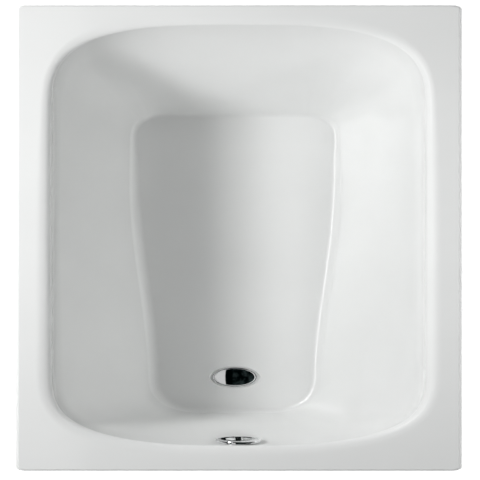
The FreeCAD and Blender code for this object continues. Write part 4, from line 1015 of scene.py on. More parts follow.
def rounded_block(b, x, y, z0, z1, w, l, corner, edge, hole=0.0, n=6, up=(0, 0, 1)):
    """Plate or block with rounded corners and edges and an optional hole."""

    def outline(inset, z):
        ww, ll, rr = w / 2 - inset, l / 2 - inset, max(corner - inset, 0.2)
        pts = []
        for cx, cy, a0 in ((ww - rr, ll - rr, 90), (ww - rr, -ll + rr, 0), (-ww + rr, -ll + rr, -90), (-ww + rr, ll - rr, -180)):
            for i in range(n + 1):
                a = math.radians(a0 - 90 * i / n)
                pts.append((x + cx + rr * math.cos(a), y + cy + rr * math.sin(a), z))
        return b.points(pts)

    k = edge * 0.293
    spec = [(edge, z0), (k, z0 + k), (0, z0 + edge), (0, z1 - edge), (k, z1 - k), (edge, z1)]
    rings = [outline(*s) for s in spec]
    for p, q in zip(rings, rings[1:]):
        b.strip(p, q)
    loops = []
    for z in (z0, z1):
        if hole:
            loops.append(b.points([(x + hole * math.cos(2 * math.pi * k / 40), y + hole * math.sin(2 * math.pi * k / 40), z) for k in range(40)]))
    if hole:
        fill_between(b, [rings[0], loops[0]], 0, (0, 0, -1))
        fill_between(b, [rings[-1], loops[1]], 0, (0, 0, 1))
        b.strip(loops[0], loops[1])
    else:
        b.face(rings[0])
        b.face(rings[-1])


# ---------------------------------------------------------- waste and its plug
FL_LOW = FLOOR_Z - DISH_D + 1.4
FL_TOP = FL_LOW + 2.0
PL = FL_TOP + 0.5
WB_TOP = FLOOR_Z - DISH_D - SHEET - 3.02
BRANCH_Z, LEVER_Z = 108.0, PL - 9.52 - 52 - 7
W_AT = mm_at(0, WASTE_Y, 0)


def dome_drop(r):
    return 112.0 - math.sqrt(112.0**2 - r * r)


def make_flange():
    ring = Build()
    ring.at = W_AT
    pts = [(22.2, FL_TOP - 28), (24.2, FL_TOP - 28), (24.2, FL_LOW), (35.0, FL_LOW), (35.5, FL_LOW + 0.4)]
    hard = [0.3, 0.3, 0.2, 0.15, 0.15]
    crown = [(35.25, FL_LOW + 0.95), (34.7, FL_TOP - 0.55), (33.8, FL_TOP - 0.15), (32.6, FL_TOP)]
    seat = [(29.0, FL_TOP - 0.9), (25.6, FL_TOP - 1.0), (23.1, FL_TOP - 2.2), (22.2, FL_TOP - 5.0)]
    prof = soften(pts + crown + seat, hard + [0.6, 0.8, 0.9, 0.9, 1.2, 1.5, 1.6, 1.6], 5)
    lathe(ring, prof, 160)
    z = FL_TOP - 28 + 1.0
    arms = []
    for d in (Vector((1, 0, 0)), Vector((0, 1, 0))):
        a = Build()
        a.at = W_AT
        bar(a, -d * 22.7 + Vector((0, 0, z + 2.5)), d * 22.7 + Vector((0, 0, z + 2.5)), 2.6, 5.0, 0.6)
        arms.append(a)
    boss = Build()
    boss.at = W_AT
    lathe(boss, soften([(0, z - 0.5), (7, z - 0.5), (7, z + 7.5), (0, z + 7.5)], [0, 0.8, 0.8, 0], 4, closed=False), 48, closed=False)
    bore = Build()
    bore.at = W_AT
    lathe(bore, [(0, z - 8), (4.05, z - 8), (4.05, z + 16), (0, z + 16)], 48, closed=False)
    return joined("drain_flange_visual", [CHROME], [ring] + arms + [boss], [bore])


def make_plug():
    b = Build()
    b.at = W_AT
    low = [(0, PL - 9.5), (7, PL - 9.5), (7, PL - 2.4), (20.8, PL - 2.4), (20.8, PL - 1.0), (23.8, PL - 1.0), (23.8, PL), (31.2, PL), (32, PL + 0.5), (32, PL + 1.8), (31.7, PL + 2.28)]
    low = soften(low, [0, 0.8, 0.8, 0.5, 0.3, 0.3, 0.3, 0.3, 0.25, 0.4, 0.2], 4, closed=False)
    n = 44
    dome = [(31.0 * (1 - i / n), PL + 7.0 - dome_drop(31.0 * (1 - i / n))) for i in range(n)] + [(0, PL + 7.0)]
    lathe(b, low + dome, 160, closed=False)
    return b.object("drain_plug_visual", [CHROME], auto=40)


flange_v = piece(make_flange(), "bath", "chrome", "drain_flange")
plug_v = piece(make_plug(), "plug", "chrome", "drain_plug")

b = Build()
b.at = W_AT
hex_nut(b, 13.0, PL - 9.52 - 4.5, PL - 9.52 - 0.3, 4.02)
piece(b.object("stem_locknut_visual", [BRASS], auto=25), "plug", "brass", "stem_locknut")
b = Build()
b.at = W_AT
lathe(b, soften([(0, PL - 61.52), (3.0, PL - 61.52), (4.0, PL - 60.5), (4.0, PL - 22.0), (0, PL - 22.0)], [0, 0.5, 0.5, 0.1, 0], 4, closed=False), 40, closed=False)
thread(b, 4.0, PL - 22.0, PL - 9.54, 1.25, 24, taper=(0.0, 0.6))
piece(b.object("plug_stem_visual", [BRASS], auto=60), "plug", "brass", "plug_stem")


def make_waste_body():
    def part(pts, r, at=W_AT, segs=96, n=4, shape=None):
        p = Build()
        p.at = at
        lathe(p, soften(pts, r, n, closed=False), segs, shape=shape, closed=False)
        return p

    low = BRANCH_Z - 22.0
    outside = part(
        [(0, low), (24, low), (30, low + 5), (30, WB_TOP - 6), (37, WB_TOP - 4), (37, WB_TOP), (0, WB_TOP)],
        [0, 4.0, 3.0, 1.5, 1.0, 0.3, 0],
    )
    lip = part([(0, WB_TOP - 12.0), (32.4, WB_TOP - 12.0), (32.4, WB_TOP - 8.6), (0, WB_TOP - 8.6)], [0, 0.8, 0.8, 0])
    inside = part(
        [(0, low + 3), (22, low + 3), (27, low + 7.5), (27, WB_TOP - 22), (24.26, WB_TOP - 19), (24.26, WB_TOP + 1), (0, WB_TOP + 1)],
        [0, 2.0, 1.5, 0.5, 0.5, 0, 0],
    )
    x_at = lambda x, y, z: mm_at(x, WASTE_Y + y, z, (1, 0, 0))
    y_at = lambda x, y, z: mm_at(x, WASTE_Y + y, z, (0, -1, 0))
    br = part([(0, 0), (21, 0), (21, 20), (0, 20)], [0, 0, 0.8, 0], x_at(24, 0, BRANCH_Z), 72)
    br_in = part([(0, 0), (18, 0), (18, 40), (0, 40)], 0, x_at(10, 0, BRANCH_Z), 72)
    hs = part([(0, 0), (12, 0), (12, 28), (0, 28)], [0, 0, 0.8, 0], y_at(0, -24, BRANCH_Z + 8), 56)
    hs_in = part([(0, 0), (9.6, 0), (9.6, 50), (0, 50)], 0, y_at(0, -12, BRANCH_Z + 8), 56)
    sh = part([(0, 0), (6, 0), (6, 61), (0, 61)], [0, 0.6, 0.6, 0], x_at(-30.5, 17, LEVER_Z), 40)
    sh_in = part([(0, 0), (3.05, 0), (3.05, 72), (0, 72)], 0, x_at(-36, 17, LEVER_Z), 32)
    cs = part([(0, 0), (4.5, 0), (4.5, 16), (0, 16)], [0, 0, 0.6, 0], y_at(-9.5, -20, LEVER_Z - 9), 32)
    cs_in = part([(0, 0), (1.2, 0), (1.2, 40), (0, 40)], 0, y_at(-9.5, -10, LEVER_Z - 9), 20)
    ribs_up = []
    for k in range(4):
        a = math.radians(45 + 90 * k)
        g = Build()
        g.at = W_AT
        d = Vector((math.cos(a), math.sin(a), 0))
        bar(g, d * 27.5 + Vector((0, 0, WB_TOP - 14)), d * 31.6 + Vector((0, 0, WB_TOP - 14)), 2.2, 18.0, 0.6)
        ribs_up.append(g)
    return joined("waste_body_visual", [WHITE], [outside, lip, br, hs, sh, cs] + ribs_up, [inside, br_in, hs_in, sh_in, cs_in])


piece(make_waste_body(), "bath", "white_plastic", "waste_body")
piece(
    turned(
        "waste_union_nut_visual",
        [(21.08, 0), (26.0, 0), (27.5, 2), (27.5, 20), (26.0, 22), (21.6, 22), (21.6, 18.2), (21.08, 18.2)],
        [WHITE],
        place_mm(33, WASTE_Y, BRANCH_Z, (1, 0, 0)),
        segs=160,
        r=0.7,
        n=4,
        shape=ribs(16, 1.5, 26.5),
        auto=45,
    ),
    "bath",
    "white_plastic",
    "waste_union_nut",
)

# ------------------------------------------------------------ trap and outlet
TRAP_X, TRAP_R, TRAP_TOP, TRAP_BOT, OUTLET_Z = 118.0, 34.0, 140.0, 16.0, 84.0
T_AT = mm_at(TRAP_X, WASTE_Y, 0)


def make_trap():
    def part(pts, r, at=T_AT, segs=96, n=4, shape=None):
        p = Build()
        p.at = at
        lathe(p, soften(pts, r, n, closed=False), segs, shape=shape, closed=False)
        return p

    x_at = lambda x, z: mm_at(x, WASTE_Y, z, (1, 0, 0))
    pot = part([(0, TRAP_BOT), (26, TRAP_BOT), (34, TRAP_BOT + 8), (34, TRAP_TOP), (0, TRAP_TOP)], [0, 5, 5, 0.4, 0])
    hoop = part([(0, 124), (36.2, 124), (36.2, 127.4), (0, 127.4)], [0, 1.0, 1.0, 0])
    t_in = part([(0, 0), (21, 0), (21, 43.1), (0, 43.1)], [0, 0.5, 0, 0], x_at(46.9, BRANCH_Z), 72)
    collar = part([(0, 0), (24.5, 0), (24.5, 5), (0, 5)], [0, 1, 1, 0], x_at(80.0, BRANCH_Z), 72)
    t_out = part([(0, 0), (24, 0), (24, 24), (0, 24)], [0, 0, 0.5, 0], x_at(146, OUTLET_Z), 72)
    inside = part([(0, TRAP_BOT + 3), (25, TRAP_BOT + 3), (31, TRAP_BOT + 9), (31, TRAP_TOP + 1), (0, TRAP_TOP + 1)], [0, 3, 3, 0, 0])
    in_b = part([(0, 0), (18, 0), (18, 48), (0, 48)], 0, x_at(46, BRANCH_Z), 72)
    out_b = part([(0, 0), (20.4, 0), (20.4, 60), (0, 60)], 0, x_at(140, OUTLET_Z), 72)
    baffle = Build()
    bar(baffle, (TRAP_X, WASTE_Y - 32.4, 91), (TRAP_X, WASTE_Y + 32.4, 91), 3.0, 98.0, 0.4)
    return joined("trap_body_visual", [WHITE], [pot, hoop, t_in, collar, t_out], [inside, in_b, out_b], inside=[baffle])


piece(make_trap(), "bath", "white_plastic", "trap_body")


def make_cap():
    b = Build()
    b.at = T_AT
    z = TRAP_TOP
    pts = [(0, z + 2.04), (34.08, z + 2.04), (34.08, z - 9.6), (37.0, z - 9.6), (38.0, z - 8.6), (38.0, z + 4.0), (36.5, z + 5.5), (24.0, z + 5.5), (22.5, z + 4.4), (6.0, z + 4.4), (4.5, z + 4.9), (0, z + 4.9)]
    lathe(b, soften(pts, [0, 0.4, 0.3, 0.6, 0.6, 1.2, 1.2, 0.5, 0.5, 0.5, 0.5, 0], 4, closed=False), 200, shape=ribs(20, 1.5, 37.2), closed=False)
    return b.object("trap_cap_visual", [WHITE], auto=45)


piece(make_cap(), "bath", "white_plastic", "trap_cap")
piece(
    turned(
        "outlet_nut_visual",
        [(24.08, 0), (28.5, 0), (30.0, 2), (30.0, 20), (28.0, 22.5), (20.3, 22.5), (20.3, 17.2), (24.08, 17.2)],
        [WHITE],
        place_mm(156, WASTE_Y, OUTLET_Z, (1, 0, 0)),
        segs=160,
        r=0.7,
        n=4,
        shape=ribs(16, 1.6, 29.0),
        auto=45,
    ),
    "bath",
    "white_plastic",
    "outlet_nut",
)
b = Build()
swept(
    b,
    route([Vector((150, WASTE_Y, OUTLET_Z)), Vector((272, WASTE_Y, OUTLET_Z)), Vector((272, -790, OUTLET_Z))], [46.0], 4.0),
    lambda s: 20.0,
    18.2,
    64,
)
piece(b.object("outlet_pipe_visual", [WHITE], auto=40), "bath", "white_plastic", "outlet_pipe")

# -------------------------------------------------------------- overflow knob
BZ = -5.6
KNOB_GAP, KNOB_H, KNOB_R = 3.2, 10.6, 36.0


def make_knob():
    b = Build()
    b.at = mm_wall()
    g, h = KNOB_GAP, KNOB_H
    top = g + h
    rim = [(KNOB_R - 1.0, g), (KNOB_R, g + 1.0), (KNOB_R, top - 4.5), (KNOB_R - 1.2, top - 1.8), (KNOB_R - 4.0, top - 0.4), (KNOB_R - 8.0, top)]
    rim = soften([(KNOB_R - 3.0, g)] + rim, [0, 0.5, 0.5, 1.6, 2.2, 3.0, 0], 6, closed=False)
    n = 74
    face = [((KNOB_R - 8.0) * (1 - i / n), top) for i in range(1, n)] + [(0, top)]
    inner = [(0, g + h - 3.55), (3.53, g + h - 3.55), (3.53, g + 2.0), (6.5, g + 2.0), (6.5, g + 1.4), (KNOB_R - 9.0, g + 1.4), (KNOB_R - 6.0, g + h - 5.2), (KNOB_R - 3.0, g + h - 7.0)]
    inner = soften(inner, [0, 0.2, 0.3, 0.2, 0.2, 0.6, 0.6, 0.6], 3, closed=False)

    def shape(r, z, a):
        if z > top - 0.05 and r < 22.5:
            t = min(r / 20.2, 1.0)
            d = 5.2 * (1 - t**2.7)
            lip = smoothstep((20.6 - r) / 2.4)
            d = d * lip
            x = abs(r * math.cos(a))
            z = z - d * smoothstep((x - 4.9) / 1.9)
        return r, z

    lathe(b, inner + rim + face, 240, shape=shape, closed=False)
    return b.object("overflow_knob_visual", [CHROME], auto=52)


piece(make_knob(), "knob", "chrome", "overflow_knob")


def make_cup():
    m = mm_wall()

    def part(pts, r, at=m, segs=80, n=4):
        p = Build()
        p.at = at
        lathe(p, soften(pts, r, n, closed=False), segs, closed=False)
        return p

    def down(x, y, z):
        return m @ Matrix.Translation(Vector((x, y, z))) @ Matrix.Rotation(math.radians(-90), 4, "X")

    outside = part([(0, BZ - 32.5), (26.5, BZ - 32.5), (29, BZ - 30), (29, BZ - 4), (35, BZ - 4), (35, BZ), (0, BZ)], [0, 2.0, 2.0, 1.2, 0.8, 0.3, 0])
    hoop = part([(0, BZ - 12), (30.6, BZ - 12), (30.6, BZ - 9.4), (0, BZ - 9.4)], [0, 0.7, 0.7, 0])
    inside = part([(0, BZ - 29.5), (24.5, BZ - 29.5), (26, BZ - 28), (26, BZ + 1), (0, BZ + 1)], [0, 1, 1, 0, 0])
    sp = part([(0, 0), (12, 0), (12, 29), (0, 29)], [0, 0, 0.6, 0], down(0, 26, BZ - 19.8), 48)
    sp_in = part([(0, 0), (9.6, 0), (9.6, 46), (0, 46)], 0, down(0, 14, BZ - 19.8), 48)
    ce = part([(0, 0), (4.5, 0), (4.5, 20), (0, 20)], [0, 0, 0.5, 0], down(-23, 12, BZ - 19.5), 32)
    ce_in = part([(0, 0), (1.2, 0), (1.2, 30), (0, 30)], 0, down(-23, 4, BZ - 19.5), 20)
    posts = [part([(0, 0), (5, 0), (5, 25.5), (0, 25.5)], [0, 0, 0.4, 0], m @ Matrix.Translation(Vector((sx * 19.2, 0, BZ - 30.5))), 32) for sx in (1, -1)]
    seat = part([(0, 0), (9, 0), (9, 6.5), (0, 6.5)], [0, 0, 0.6, 0], m @ Matrix.Translation(Vector((0, 0, BZ - 30.5))), 40)
    return joined("overflow_body_visual", [WHITE], [outside, hoop, sp, ce], [inside, sp_in, ce_in], inside=posts + [seat])


piece(make_cup(), "bath", "white_plastic", "overflow_body")

# -------------------------------------------------------- hose, nuts and cable
SP_C = OVER + OUT * (BZ - 19.8)
HOSE_Z = BRANCH_Z + 8.0


def make_hose():
    h0 = SP_C + DOWN * 37.4
    corner = h0 + DOWN * ((h0.z - HOSE_Z) / -DOWN.z)
    end = Vector((0, WASTE_Y - 32.5, HOSE_Z))
    path = route([h0, corner, end], [64.0], 0.72)
    total = path_length(path)

    def outer(s):
        cuff = 15.5
        if s < cuff or s > total - cuff:
            return 14.3
        w = 0.5 + 0.5 * math.cos(2 * math.pi * (s - cuff) / 4.6)
        ease = min((s - cuff) / 3.0, (total - cuff - s) / 3.0, 1.0)
        return 14.4 - 2.1 * ease * smoothstep(1.15 * (1 - w))

    b = Build()
    swept(b, path, outer, 11.6, 40)
    return b.object("overflow_hose_visual", [GREY], auto=70)


piece(make_hose(), "bath", "grey_plastic", "overflow_hose")
nut_outline = [(12.2, 0), (16.4, 0), (17.4, 1.2), (17.4, 12.0), (16.4, 13.2), (14.56, 13.2), (14.56, 1.2), (12.2, 1.2)]
for name, at, axis in (
    ("hose_nut_upper", SP_C + DOWN * 36.1, DOWN),
    ("hose_nut_lower", Vector((0, WASTE_Y - 31.2, HOSE_Z)), Vector((0, -1, 0))),
):
    o = turned(name + "_visual", nut_outline, [WHITE], place_mm(*at, axis), segs=144, r=0.5, n=4, shape=ribs(12, 1.0, 16.9), auto=45)
    piece(o, "bath", "white_plastic", name)


def make_cable():
    c0 = OVER + OUT * (BZ - 19.5) + DOWN * 32.05
    c0.x = -23.0
    c_in = Vector((-9.5, WASTE_Y - 36.05, LEVER_Z - 9.0))
    pts = [c0]
    for d, x in ((46, -23.0), (118, -29.0), (196, -33.0), (274, -31.0), (340, -27.0)):
        p = c0 + DOWN * d
        p.x = x
        pts.append(p)
    pts += [Vector((-22.0, c_in.y - 76.0, c_in.z - 4.0)), Vector((-9.5, c_in.y - 34.0, c_in.z)), c_in]
    radii = []
    for a, p, q in zip(pts, pts[1:], pts[2:]):
        turn = math.pi - (a - p).angle(q - p)
        short = min((a - p).length, (q - p).length)
        radii.append(min(0.45 * short / math.tan(turn / 2), 400.0))
    path = route(pts, radii, 2.5)
    total = path_length(path)

    def outer(s):
        return 2.6 if 9.0 < s < total - 9.0 else 2.55

    b = Build()
    swept(b, path, outer, 0.0, 20)
    return b.object("pull_cable_visual", [BLACK], auto=50)


piece(make_cable(), "bath", "black_plastic", "pull_cable")

# --------------------------------------------------------------- legs and feet
RAIL_TOP, RAIL_W, RAIL_H, RAIL_T, RAIL_L = 152.0, 40.0, 25.0, 2.5, 440.0
STUD_X, FOOT_X = 80.0, 195.0
UNDER = SHEET / math.cos(math.atan(FALL))


def circle_ids(b, x, y, r, z, n=48):
    return b.points([(x + r * math.cos(2 * math.pi * k / n), y + r * math.sin(2 * math.pi * k / n), z) for k in range(n)])


def make_rail(name, y):
    b = Build()
    lo, hi = RAIL_TOP - RAIL_H, RAIL_TOP
    w = RAIL_W / 2
    out = soften([(y - w, lo), (y - w, hi), (y + w, hi), (y + w, lo)], [0, 4.0, 4.0, 0], 6, closed=False)
    ins = soften([(y + w - RAIL_T, lo), (y + w - RAIL_T, hi - RAIL_T), (y - w + RAIL_T, hi - RAIL_T), (y - w + RAIL_T, lo)], [0, 1.6, 1.6, 0], 6, closed=False)
    prof = out + ins
    a = b.points([(-RAIL_L / 2, p[0], p[1]) for p in prof])
    c = b.points([(RAIL_L / 2, p[0], p[1]) for p in prof])
    n = len(prof)
    flat = {}
    for i in range(n):
        j = (i + 1) % n
        if abs(prof[i][1] - prof[j][1]) < 1e-6 and abs(prof[i][0] - prof[j][0]) > 20:
            flat[round(prof[i][1], 1)] = (i, j)
            continue
        b.face((a[i], a[j], c[j], c[i]))
    fill_between(b, [a], 0, (-1, 0, 0))
    fill_between(b, [c], 0, (1, 0, 0))
    zt, zu, zb = hi, hi - RAIL_T, hi - RAIL_T - 10.0
    loops_top, loops_low = [], []
    for i, j in [flat[round(zt, 1)]]:
        loops_top.append([a[i], a[j], c[j], c[i]])
    for i, j in [flat[round(zu, 1)]]:
        loops_low.append([a[i], a[j], c[j], c[i]])
    for sx in (1, -1):
        t = circle_ids(b, STUD_X * sx, y, 5.0, zt)
        u = circle_ids(b, STUD_X * sx, y, 5.0, zu)
        b.strip(t, u)
        loops_top.append(t)
        loops_low.append(u)
        t = circle_ids(b, FOOT_X * sx, y, 5.6, zt)
        t2 = circle_ids(b, FOOT_X * sx, y, 5.05, zt - 0.5)
        d2 = circle_ids(b, FOOT_X * sx, y, 5.05, zb + 0.4)
        d = circle_ids(b, FOOT_X * sx, y, 5.5, zb)
        e = circle_ids(b, FOOT_X * sx, y, 9.4, zb)
        f = circle_ids(b, FOOT_X * sx, y, 10.0, zb + 0.6)
        g = circle_ids(b, FOOT_X * sx, y, 10.0, zu - 1.2)
        k = circle_ids(b, FOOT_X * sx, y, 11.2, zu)
        for p, q in ((t, t2), (t2, d2), (d2, d), (d, e), (e, f), (f, g), (g, k)):
            b.strip(p, q)
        loops_top.append(t)
        loops_low.append(k)
    fill_between(b, loops_top, 0, (0, 0, 1))
    fill_between(b, loops_low, 0, (0, 0, -1))
    return b.object(name + "_visual", [ZINC], auto=28)


for end, sgn in (("head", 1), ("foot", -1)):
    y = 330.0 * sgn
    zu = floor_at(y) - UNDER - 0.22
    piece(make_rail("leg_rail_" + end, y), "bath", "zinc_steel", "leg_rail_" + end)
    b = Build()
    stud_len = zu - RAIL_TOP + 16.0
    for sx in (1, -1):
        b.at = None
        rounded_block(b, STUD_X * sx, y, zu - 3, zu, 50, 34, 4.0, 0.5)
        b.at = mm_at(STUD_X * sx, y, 0)
        lathe(b, soften([(0, zu - 5.2), (4.0, zu - 5.2), (5.4, zu - 3.0), (0, zu - 3.0)], [0, 0.6, 0.3, 0], 4, closed=False), 32, closed=False)
        thread(b, 4.0, zu - stud_len, zu - 4.6, 1.25, 24, taper=(1.0, 0.0))
    piece(b.object("stud_plates_%s_visual" % end, [ZINC], auto=40), "bath", "zinc_steel", "stud_plates_" + end)
    b = Build()
    h = zu - 3.0 - RAIL_TOP - 0.45
    for sx in (1, -1):
        rounded_block(b, STUD_X * sx, y, RAIL_TOP + 0.05, RAIL_TOP + 0.05 + h, 44, 30, 3.0, 1.0, 4.6)
    piece(b.object("rail_buffers_%s_visual" % end, [RUBBER], auto=35), "bath", "rubber", "rail_buffers_" + end)
    b = Build()
    for sx in (1, -1):
        b.at = mm_at(STUD_X * sx, y, 0)
        z = RAIL_TOP - RAIL_T - 1.65
        lathe(b, soften([(4.25, z), (8.0, z), (8.0, z + 1.6), (4.25, z + 1.6)], 0.35, 3), 48)
    piece(b.object("rail_washers_%s_visual" % end, [ZINC], auto=50), "bath", "zinc_steel", "rail_washers_" + end)
    b = Build()
    for sx in (1, -1):
        b.at = mm_at(STUD_X * sx, y, 0)
        hex_nut(b, 13.0, RAIL_TOP - RAIL_T - 8.2, RAIL_TOP - RAIL_T - 1.7, 4.15)
    piece(b.object("rail_nuts_%s_visual" % end, [ZINC], auto=25), "bath", "zinc_steel", "rail_nuts_" + end)
    b = Build()
    for sx in (1, -1):
        b.at = mm_at(FOOT_X * sx, y, 0)
        hex_nut(b, 17.0, RAIL_TOP + 0.05, RAIL_TOP + 8.05, 5.05)
    piece(b.object("foot_locknuts_%s_visual" % end, [ZINC], auto=25), "bath", "zinc_steel", "foot_locknuts_" + end)
    for side, sx in (("right", 1), ("left", -1)):
        nm = "%s_%s" % (end, side)
        b = Build()
        b.at = mm_at(FOOT_X * sx, y, 0)
        ball = [(0, 6.0), (5.5, 6.0), (6.5, 8.0), (6.5, 10.5), (5.0, 12.5), (5.0, 16.0)]
        collar = [(8.5, 16.0), (8.5, 22.0), (5.0, 23.0), (4.2, 24.5), (0, 24.5)]
        lathe(b, soften(ball + collar, [0, 1.2, 1.6, 1.6, 1.2, 0.4, 0.8, 0.8, 0.5, 0.3, 0], 4, closed=False), 48, closed=False)
        thread(b, 5.0, 24.0, 176.0, 1.5, 24, taper=(1.5, 1.2))
        piece(b.object("foot_rod_%s_visual" % nm, [ZINC], auto=55), "foot_" + nm, "zinc_steel", "foot_rod_" + nm)
        b = Build()
        b.at = mm_at(FOOT_X * sx, y, 0)
        pad_pts = [(0, 0), (24, 0), (25, 1.0), (25, 4.0), (22, 6.5), (13, 9.0), (10.5, 14), (6.0, 14), (6.0, 12.0), (6.6, 10.8), (6.6, 5.9), (0, 5.9)]
        rr = [0, 0.6, 0.6, 1.5, 2.5, 3.0, 1.2, 0.6, 0.4, 0.4, 0.5, 0]

        def web(r, z, a):
            if 11.5 < r < 23.5 and z > 4.5:
                k = smoothstep((math.cos(8 * a) - 0.80) / 0.15) * smoothstep((r - 11.5) / 1.5) * smoothstep((23.5 - r) / 2.0)
                z = z + 1.4 * k
            return r, z

        lathe(b, soften(pad_pts, rr, 5, closed=False), 192, shape=web, closed=False)
        piece(b.object("foot_pad_%s_visual" % nm, [BLACK], auto=40), "foot_" + nm, "black_plastic", "foot_pad_" + nm)

# ------------------------------------------------------------- bonded mats
MU_LO, MU_HI = mid_marks[3], mid_marks[4]


def mu_at_top_y(y):
    lo, hi = MU_LO, MU_HI
    for _ in range(50):
        m = (lo + hi) / 2
        if station(m)[1][1] > y:
            lo = m
        else:
            hi = m
    return (lo + hi) / 2


def wall_point(mu, v):
    p = profile(mu, SHEET)
    a, c = Vector(p[3]), Vector(p[4])
    return a + (c - a) * v


def wall_normal(mu, v):
    du = wall_point(mu + 2, v) - wall_point(mu - 2, v)
    dv = wall_point(mu, v + 0.01) - wall_point(mu, v - 0.01)
    n = du.cross(dv).normalized()
    return -n if n.z > 0 else n


def mat_skin(b, mu0, mu1, v0, v1, flip):
    nu, nv = 44, 22
    grid = [[(mu0 + (mu1 - mu0) * i / nu, v0 + (v1 - v0) * j / nv) for i in range(nu + 1)] for j in range(nv + 1)]
    edge = 2.0

    def pt(mu, v, off):
        p = wall_point(mu, v) + wall_normal(mu, v) * off
        if flip:
            p.x = -p.x
        return p

    low = [b.points([pt(mu, v, 0.06) for mu, v in row]) for row in grid]
    top = []
    for j, row in enumerate(grid):
        ids = []
        for i, (mu, v) in enumerate(row):
            on = i in (0, nu) or j in (0, nv)
            ids.append(b.point(pt(mu, v, 2.2 if on else 3.06)))
        top.append(ids)
    for g in (low, top):
        for j in range(nv):
            for i in range(nu):
                b.face((g[j][i], g[j][i + 1], g[j + 1][i + 1], g[j + 1][i]))
    b.strip(low[0], top[0], closed=False)
    b.strip(low[-1], top[-1], closed=False)
    b.strip([r[0] for r in low], [r[0] for r in top], closed=False)
    b.strip([r[-1] for r in low], [r[-1] for r in top], closed=False)


m0, m1 = mu_at_top_y(230.0), mu_at_top_y(-230.0)
for name, spans in (
    ("side_mat_right", [(m0, m1, 0.34, 0.82, False)]),
    ("side_mat_left", [(m0, m1, 0.34, 0.82, True)]),
    ("head_mat", [(6.0, 84.0, 0.28, 0.80, False), (6.0, 84.0, 0.28, 0.80, True)]),
):
    b = Build()
    for s in spans:
        mat_skin(b, *s)
    piece(b.object(name + "_visual", [MAT], auto=45), "bath", "mat", name)
b = Build()
tilt_m = Matrix.Translation(Vector((0, -20.0, floor_at(-20.0) - UNDER - 0.02))) @ Matrix.Rotation(math.atan(FALL), 4, "X")
b.at = tilt_m
rounded_block(b, 0, 0, -3.05, -0.05, 190, 520, 6.0, 0.8)
piece(b.object("floor_mat_visual", [MAT], auto=45), "bath", "mat", "floor_mat")

# ------------------------------------------------------------- earth bonding
EZ = floor_at(-420.0) - UNDER - 0.02
TURN_OUT = Matrix.Rotation(math.atan(FALL), 4, "X") @ Matrix.Rotation(math.radians(90), 4, "Z")


def make_tag():
    b = Build()
    b.at = Matrix.Translation(Vector((-82.0, -420.0, EZ))) @ TURN_OUT @ Matrix.Rotation(math.radians(90), 4, "X")
    n = 10
    pts = [(-12, 0), (12, 0)]
    for cx, a0 in ((7.0, 0), (-7.0, -90)):
        for i in range(n + 1):
            a = math.radians(a0 - 90 * i / n)
            pts.append((cx + 5.0 * math.cos(a), -21.0 + 5.0 * math.sin(a)))
    loops = []
    for z in (-1.25, 1.25):
        loops.append((b.points([(x, y, z) for x, y in pts]), b.points([(3.3 * math.cos(2 * math.pi * k / 40), -14 + 3.3 * math.sin(2 * math.pi * k / 40), z) for k in range(40)])))
    b.strip(loops[0][0], loops[1][0])
    b.strip(loops[0][1], loops[1][1])
    for l in loops:
        fill_between(b, [l[0], l[1]], 0, (-1, 0, 0))
    return b.object("earth_tag_visual", [ZINC], auto=30)


piece(make_tag(), "bath", "zinc_steel", "earth_tag")
E_DROP = math.atan(FALL)
E_AT = Matrix.Translation(Vector((-82.0, -420.0 + 14.0 * math.sin(E_DROP), EZ - 14.0 * math.cos(E_DROP)))) @ TURN_OUT @ Matrix.Rotation(math.radians(-90), 4, "X")
b = Build()
b.at = E_AT
hex_nut(b, 10.0, -5.3, -1.3, 0.0)
lathe(b, [(0, -1.35), (2.6, -1.35), (2.6, 6.6), (0, 6.6)], 32, closed=False)
thread(b, 3.0, 6.55, 14.0, 1.0, 24, taper=(0.2, 0.8))
piece(b.object("earth_screw_visual", [ZINC], auto=40), "bath", "zinc_steel", "earth_screw")
b = Build()
b.at = E_AT
hex_nut(b, 10.0, 1.3, 6.3, 2.65)
piece(b.object("earth_nut_visual", [ZINC], auto=25), "bath", "zinc_steel", "earth_nut")

# ------------------------------------------------------------------ camera
# The photograph is squeezed along its height, so the straight-down view is
# sheared: image width spans 700 mm of X, the same height spans 1700 mm of Y.
cam = bpy.data.cameras.new("main_camera")
cam.type = "ORTHO"
PX = 3.6496
cam.ortho_scale = 480 * PX / 1000
cam.clip_end = 50
co = bpy.data.objects.new("main_camera", cam)
scene.collection.objects.link(co)
rig = bpy.data.objects.new("camera_rig", None)
scene.collection.objects.link(rig)
TILT = 0.01475
zl = math.hypot(1, TILT)
zx, zz = -TILT / zl, 1 / zl
WIDE = 2.3337
# width axis (c, 0, s): unit length, and X seen across it is c - s * zx / zz
lo_c, hi_c = 0.2, 0.7
for _ in range(60):
    c = (lo_c + hi_c) / 2
    s = math.sqrt(1 - c * c)
    scale = c - s * zx / zz
    if scale > 1 / WIDE:
        hi_c = c
    else:
        lo_c = c
CX, CY = 0.0019, -0.0073
height = 3.0
lift = height - RIM_Z / 1000
M = Matrix(
    (
        (c, 0, zx, CX + lift * zx / zz),
        (0, 1, 0, CY),
        (s, 0, zz, height),
        (0, 0, 0, 1),
    )
)
co.parent = rig
co.matrix_parent_inverse = M
scene.camera = co

# ------------------------------------------------------------------ stage
def stage_mat(name, colour, emit, diffuse=True):
    m, nt, p = new_mat(name)
    p.inputs["Base Color"].default_value = (*colour, 1)
    p.inputs["Roughness"].default_value = 0.9
    p.inputs["Specular IOR Level"].default_value = 0.0
    p.inputs["Emission Color"].default_value = (1, 1, 1, 1)
    p.inputs["Emission Strength"].default_value = emit
    return m


